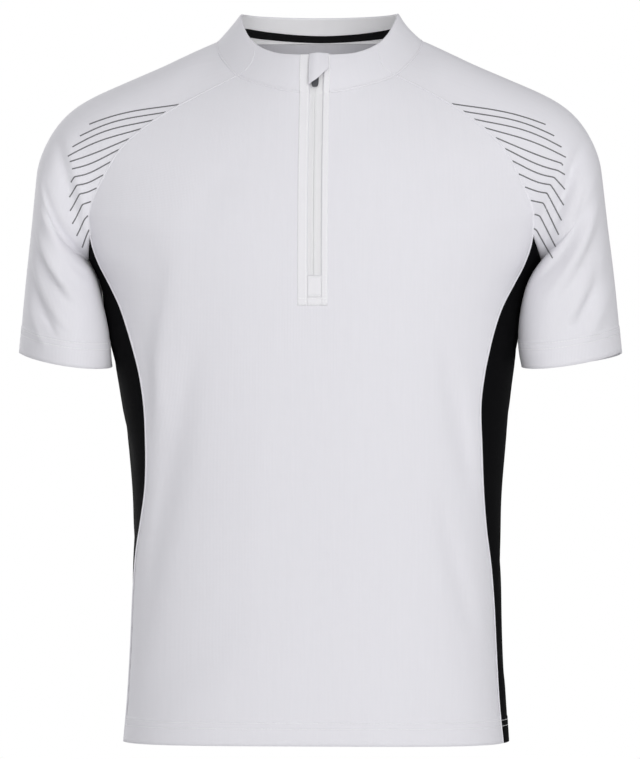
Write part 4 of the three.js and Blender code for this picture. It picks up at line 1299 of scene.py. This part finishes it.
def buildPinLines(side, hand):
    grid = sleeveGrids[side]
    tree = BVHTree.FromPolygons(grid.reshape(-1, 3).tolist(), gridFaces(*grid.shape[:2]).tolist())
    shape = pinLines[hand]
    number = np.arange(pinLines["count"])
    station = np.interp(number, number[[0, -1]], (pinLines["firstStation"], pinLines["lastStation"]))
    seams = sleeveEdge(station, -1, side)
    turned = {column: readTable({**shape, **pinLines}, "number", column, number) for column in shape}
    bows = readTable(pinLines, "number", "bow", number)
    parts = []
    for k in number:
        start = np.array([side * seams[k, 0], seams[k, 2]])
        fold = np.array([turned["foldX"][k], turned["foldZ"][k]])
        end = np.array([turned["endX"][k], turned["endZ"][k]])
        f = np.linspace(0, 1, 60)[:, None]
        path = start + (fold - start) * f + np.sin(np.pi * f ** 1.3) * [0, bows[k]]
        if np.hypot(*(end - fold)) > 2:
            path = np.concatenate([path, (fold + (end - fold) * f)[1:]])
        long = np.concatenate([[0], np.cumsum(np.hypot(*np.diff(path, axis=0).T))])
        count = max(int(long[-1] / pinLines["step"]), 6)
        at = np.linspace(pinLines["seamGap"], long[-1], count)
        path = np.stack([np.interp(at, long, path[:, j]) for j in (0, 1)], 1)
        for _ in range(pinLines["softening"]):
            path[1:-1] = (path[:-2] + 2 * path[1:-1] + path[2:]) / 4
        run = np.gradient(path, axis=0)
        across = np.stack([-run[:, 1], run[:, 0]], 1) / np.hypot(*run.T)[:, None]
        halves = np.array([-0.5, 0, 0.5])[None, :, None]
        spread = path[:, None] + across[:, None] * halves * pinLines["width"]
        spots, out = onSleeveFront(tree, side * spread[..., 0], spread[..., 1])
        line = spots + out * pinLines["lift"]
        line = line if side < 0 else line[:, ::-1]
        parts.append(clothPiece(f"line{k}", line, pinLines["wall"], finishes["greyPrint"]))
    return joinPieces("pin_lines_" + hand, parts)


pins = {side: buildPinLines(side, hand) for side, hand in hands.items()}
print("pin lines made")

# Seat of the slider on the zip, and the tilt of the collar there
slider = {
    "low": collarPoint(0.0, 0.5),
    "high": collarPoint(0.0, 0.75),
    "tabHalf": 3.8,
    "tabTop": 2.8,
    "tabFoot": -19.6,
    "tabThick": 0.9,
    "eyeHalf": 1.5,
    "eyeReach": 2.5,
    "eyeZ": -0.9,
    "edgePower": 0.35,
}


# Local x across, y into the cloth and z along the zip, turned to the collar's tilt.
def seated(grid):
    seat = (slider["low"] + slider["high"]) / 2
    rise = slider["high"] - slider["low"]
    tilt = np.arctan2(rise[1], rise[2])
    x, y, z = grid[..., 0], grid[..., 1], grid[..., 2]
    return place(cut["zipLine"] + x, seat[1] + y * np.cos(tilt) + z * np.sin(tilt),
                 seat[2] - y * np.sin(tilt) + z * np.cos(tilt))


# Block with soft corners: an ellipsoid whose sines are raised to a small power.
def softBlock(x0, x1, y0, y1, z0, z1, power=0.22):
    centre = np.array([[(x0 + x1) / 2, (y0 + y1) / 2, (z0 + z1) / 2]])
    halves = np.diag([(x1 - x0) / 2, (y1 - y0) / 2, (z1 - z0) / 2])
    return seated(beads(centre, halves[:1], halves[1:2], halves[2:], 17, 24, power)[0])


# The slider's two plates and the wedge between them, then the bridge's two feet and its bar
sliderBlocks = [
    (-4.3, 4.3, 0.3, 1.3, -5.6, 5.6),
    (-4.3, 4.3, 3.1, 4.1, -5.6, 5.6),
    (-1.3, 1.3, 1.2, 3.2, 1.5, 5.6),
    (-0.9, 0.9, -2, 0.6, 3.2, 4.4),
    (-0.9, 0.9, -2, 0.6, -2.6, -1.4),
    (-0.9, 0.9, -2, -1.2, -2.6, 4.4),
]


def buildSlider():
    parts = [plainGrid(f"block{k}", softBlock(*block), finishes["whitePlastic"])
             for k, block in enumerate(sliderBlocks)]
    piece = joinPieces("slider_body", parts)
    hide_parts("zip_slider")
    return piece


# Pull tab: a flat ring from its eye to a rounded outline, its edges softened by the loop
# that carries the section round from eye to rim and back.
def buildTab():
    turn = np.linspace(-np.pi, np.pi, 73)[None, :]
    section = np.linspace(0, 2 * np.pi, 33)[:, None]
    across, along = np.cos(turn), np.sin(turn)
    eye, foot = slider["eyeZ"], slider["tabFoot"]
    eyeX = slider["eyeHalf"] * softPower(across, 0.5)
    eyeZ = eye + slider["eyeReach"] * softPower(along, 0.5)
    reach = np.where(along > 0, slider["tabTop"] - eye, eye - foot)
    power = np.where(along > 0, 0.35, 0.42)
    rimX = slider["tabHalf"] * softPower(across, power)
    rimZ = eye + reach * softPower(along, power)
    out = (1 - softPower(np.cos(section), slider["edgePower"])) / 2
    halfThick = slider["tabThick"] / 2
    y = -halfThick + halfThick * softPower(np.sin(section), slider["edgePower"])
    grid = place(eyeX + (rimX - eyeX) * out, y + 0 * turn, eyeZ + (rimZ - eyeZ) * out)
    piece = plainGrid("slider_tab", seated(grid), finishes["greyPlastic"], rides="pull")
    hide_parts("pull_tab")
    return piece


zipSlider = buildSlider()
pullTab = buildTab()
print("slider and pull tab made")

# Studio: white world, a broad key light from the wearer's left in front, and a pale round floor
# well below that brightens to the backdrop's white at its rim. Metres, watts and degrees
studio = {
    "distance": 4.7, "azimuth": 3.0, "centreX": 0.5, "centreZ": -336.5, "viewHeight": 0.759,
    "lights": [("key", (1.9, -3.9, 0.15), 2.6, 55.0), ("front", (-0.2, -4.4, 0.3), 1.6, 29.0),
               ("top", (0.1, -1.9, 1.7), 1.2, 6.0), ("rear", (-2.6, 3.4, 0.9), 2.2, 74.0)],
    "floor": -1.45, "reach": 8.0, "ambient": 0.46, "paper": 1.0, "floorGlow": 0.8,
    "fadeFrom": 3.5, "fadeMargin": 0.3, "sensor": 36.0, "clipEnd": 50.0,
}


def buildStudio():
    scene = bpy.context.scene
    scene.view_settings.view_transform = "Standard"
    turn = np.radians(studio["azimuth"])
    target = Vector((studio["centreX"] * mm, 0, studio["centreZ"] * mm))
    camera = bpy.data.objects.new("camera", bpy.data.cameras.new("camera"))
    scene.collection.objects.link(camera)
    camera.location = target + Vector((np.sin(turn), -np.cos(turn), 0)) * studio["distance"]
    camera.rotation_euler = (np.pi / 2, 0, turn)
    camera.data.sensor_fit = "VERTICAL"
    camera.data.sensor_height = studio["sensor"]
    camera.data.lens = studio["sensor"] * studio["distance"] / studio["viewHeight"]
    camera.data.clip_end = studio["clipEnd"]
    scene.camera = camera
    world = bpy.data.worlds.new("world")
    scene.world = world
    world.use_nodes = True
    nodes, links = world.node_tree.nodes, world.node_tree.links
    soft = nodes["Background"]
    soft.inputs["Color"].default_value = (0.985, 0.99, 1, 1)
    soft.inputs["Strength"].default_value = studio["ambient"]
    paper = nodes.new("ShaderNodeBackground")
    paper.inputs["Strength"].default_value = studio["paper"]
    paper.inputs["Color"].default_value = (1, 1, 1, 1)
    rays, mix = nodes.new("ShaderNodeLightPath"), nodes.new("ShaderNodeMixShader")
    links.new(rays.outputs["Is Camera Ray"], mix.inputs["Fac"])
    links.new(soft.outputs["Background"], mix.inputs[1])
    links.new(paper.outputs["Background"], mix.inputs[2])
    links.new(mix.outputs["Shader"], nodes["World Output"].inputs["Surface"])
    for name, spot, size, power in studio["lights"]:
        light = bpy.data.lights.new(name, "AREA")
        light.size = size
        light.energy = power
        lamp = bpy.data.objects.new(name, light)
        scene.collection.objects.link(lamp)
        lamp.location = spot
        lamp.rotation_euler = (target - Vector(spot)).to_track_quat("-Z", "Y").to_euler()
    mesh = bpy.data.meshes.new("floor")
    around = np.linspace(0, 2 * np.pi, 97)[:-1]
    disc = place(studio["reach"] * np.cos(around), studio["reach"] * np.sin(around), studio["floor"])
    mesh.from_pydata(disc.tolist(), [], [list(range(len(around)))])
    paper = bpy.data.materials.new("paper")
    paper.use_nodes = True
    nodes, links = paper.node_tree.nodes, paper.node_tree.links
    matt = nodes["Principled BSDF"]
    matt.inputs["Base Color"].default_value = (0.8, 0.8, 0.8, 1)
    matt.inputs["Roughness"].default_value = 0.9
    pale = nodes.new("ShaderNodeEmission")
    spot, far = nodes.new("ShaderNodeTexCoord"), nodes.new("ShaderNodeVectorMath")
    far.operation = "LENGTH"
    links.new(spot.outputs["Object"], far.inputs[0])
    fade = nodes.new("ShaderNodeMapRange")
    fade.interpolation_type = "SMOOTHSTEP"
    fade.inputs["From Min"].default_value = studio["fadeFrom"]
    fade.inputs["From Max"].default_value = studio["reach"] - studio["fadeMargin"]
    fade.inputs["To Min"].default_value = studio["floorGlow"]
    links.new(far.outputs["Value"], fade.inputs["Value"])
    links.new(fade.outputs["Result"], pale.inputs["Strength"])
    rays, mix = nodes.new("ShaderNodeLightPath"), nodes.new("ShaderNodeMixShader")
    links.new(rays.outputs["Is Camera Ray"], mix.inputs["Fac"])
    links.new(matt.outputs["BSDF"], mix.inputs[1])
    links.new(pale.outputs["Emission"], mix.inputs[2])
    links.new(mix.outputs["Shader"], nodes["Material Output"].inputs["Surface"])
    mesh.materials.append(paper)
    floor = bpy.data.objects.new("floor", mesh)
    scene.collection.objects.link(floor)


buildStudio()
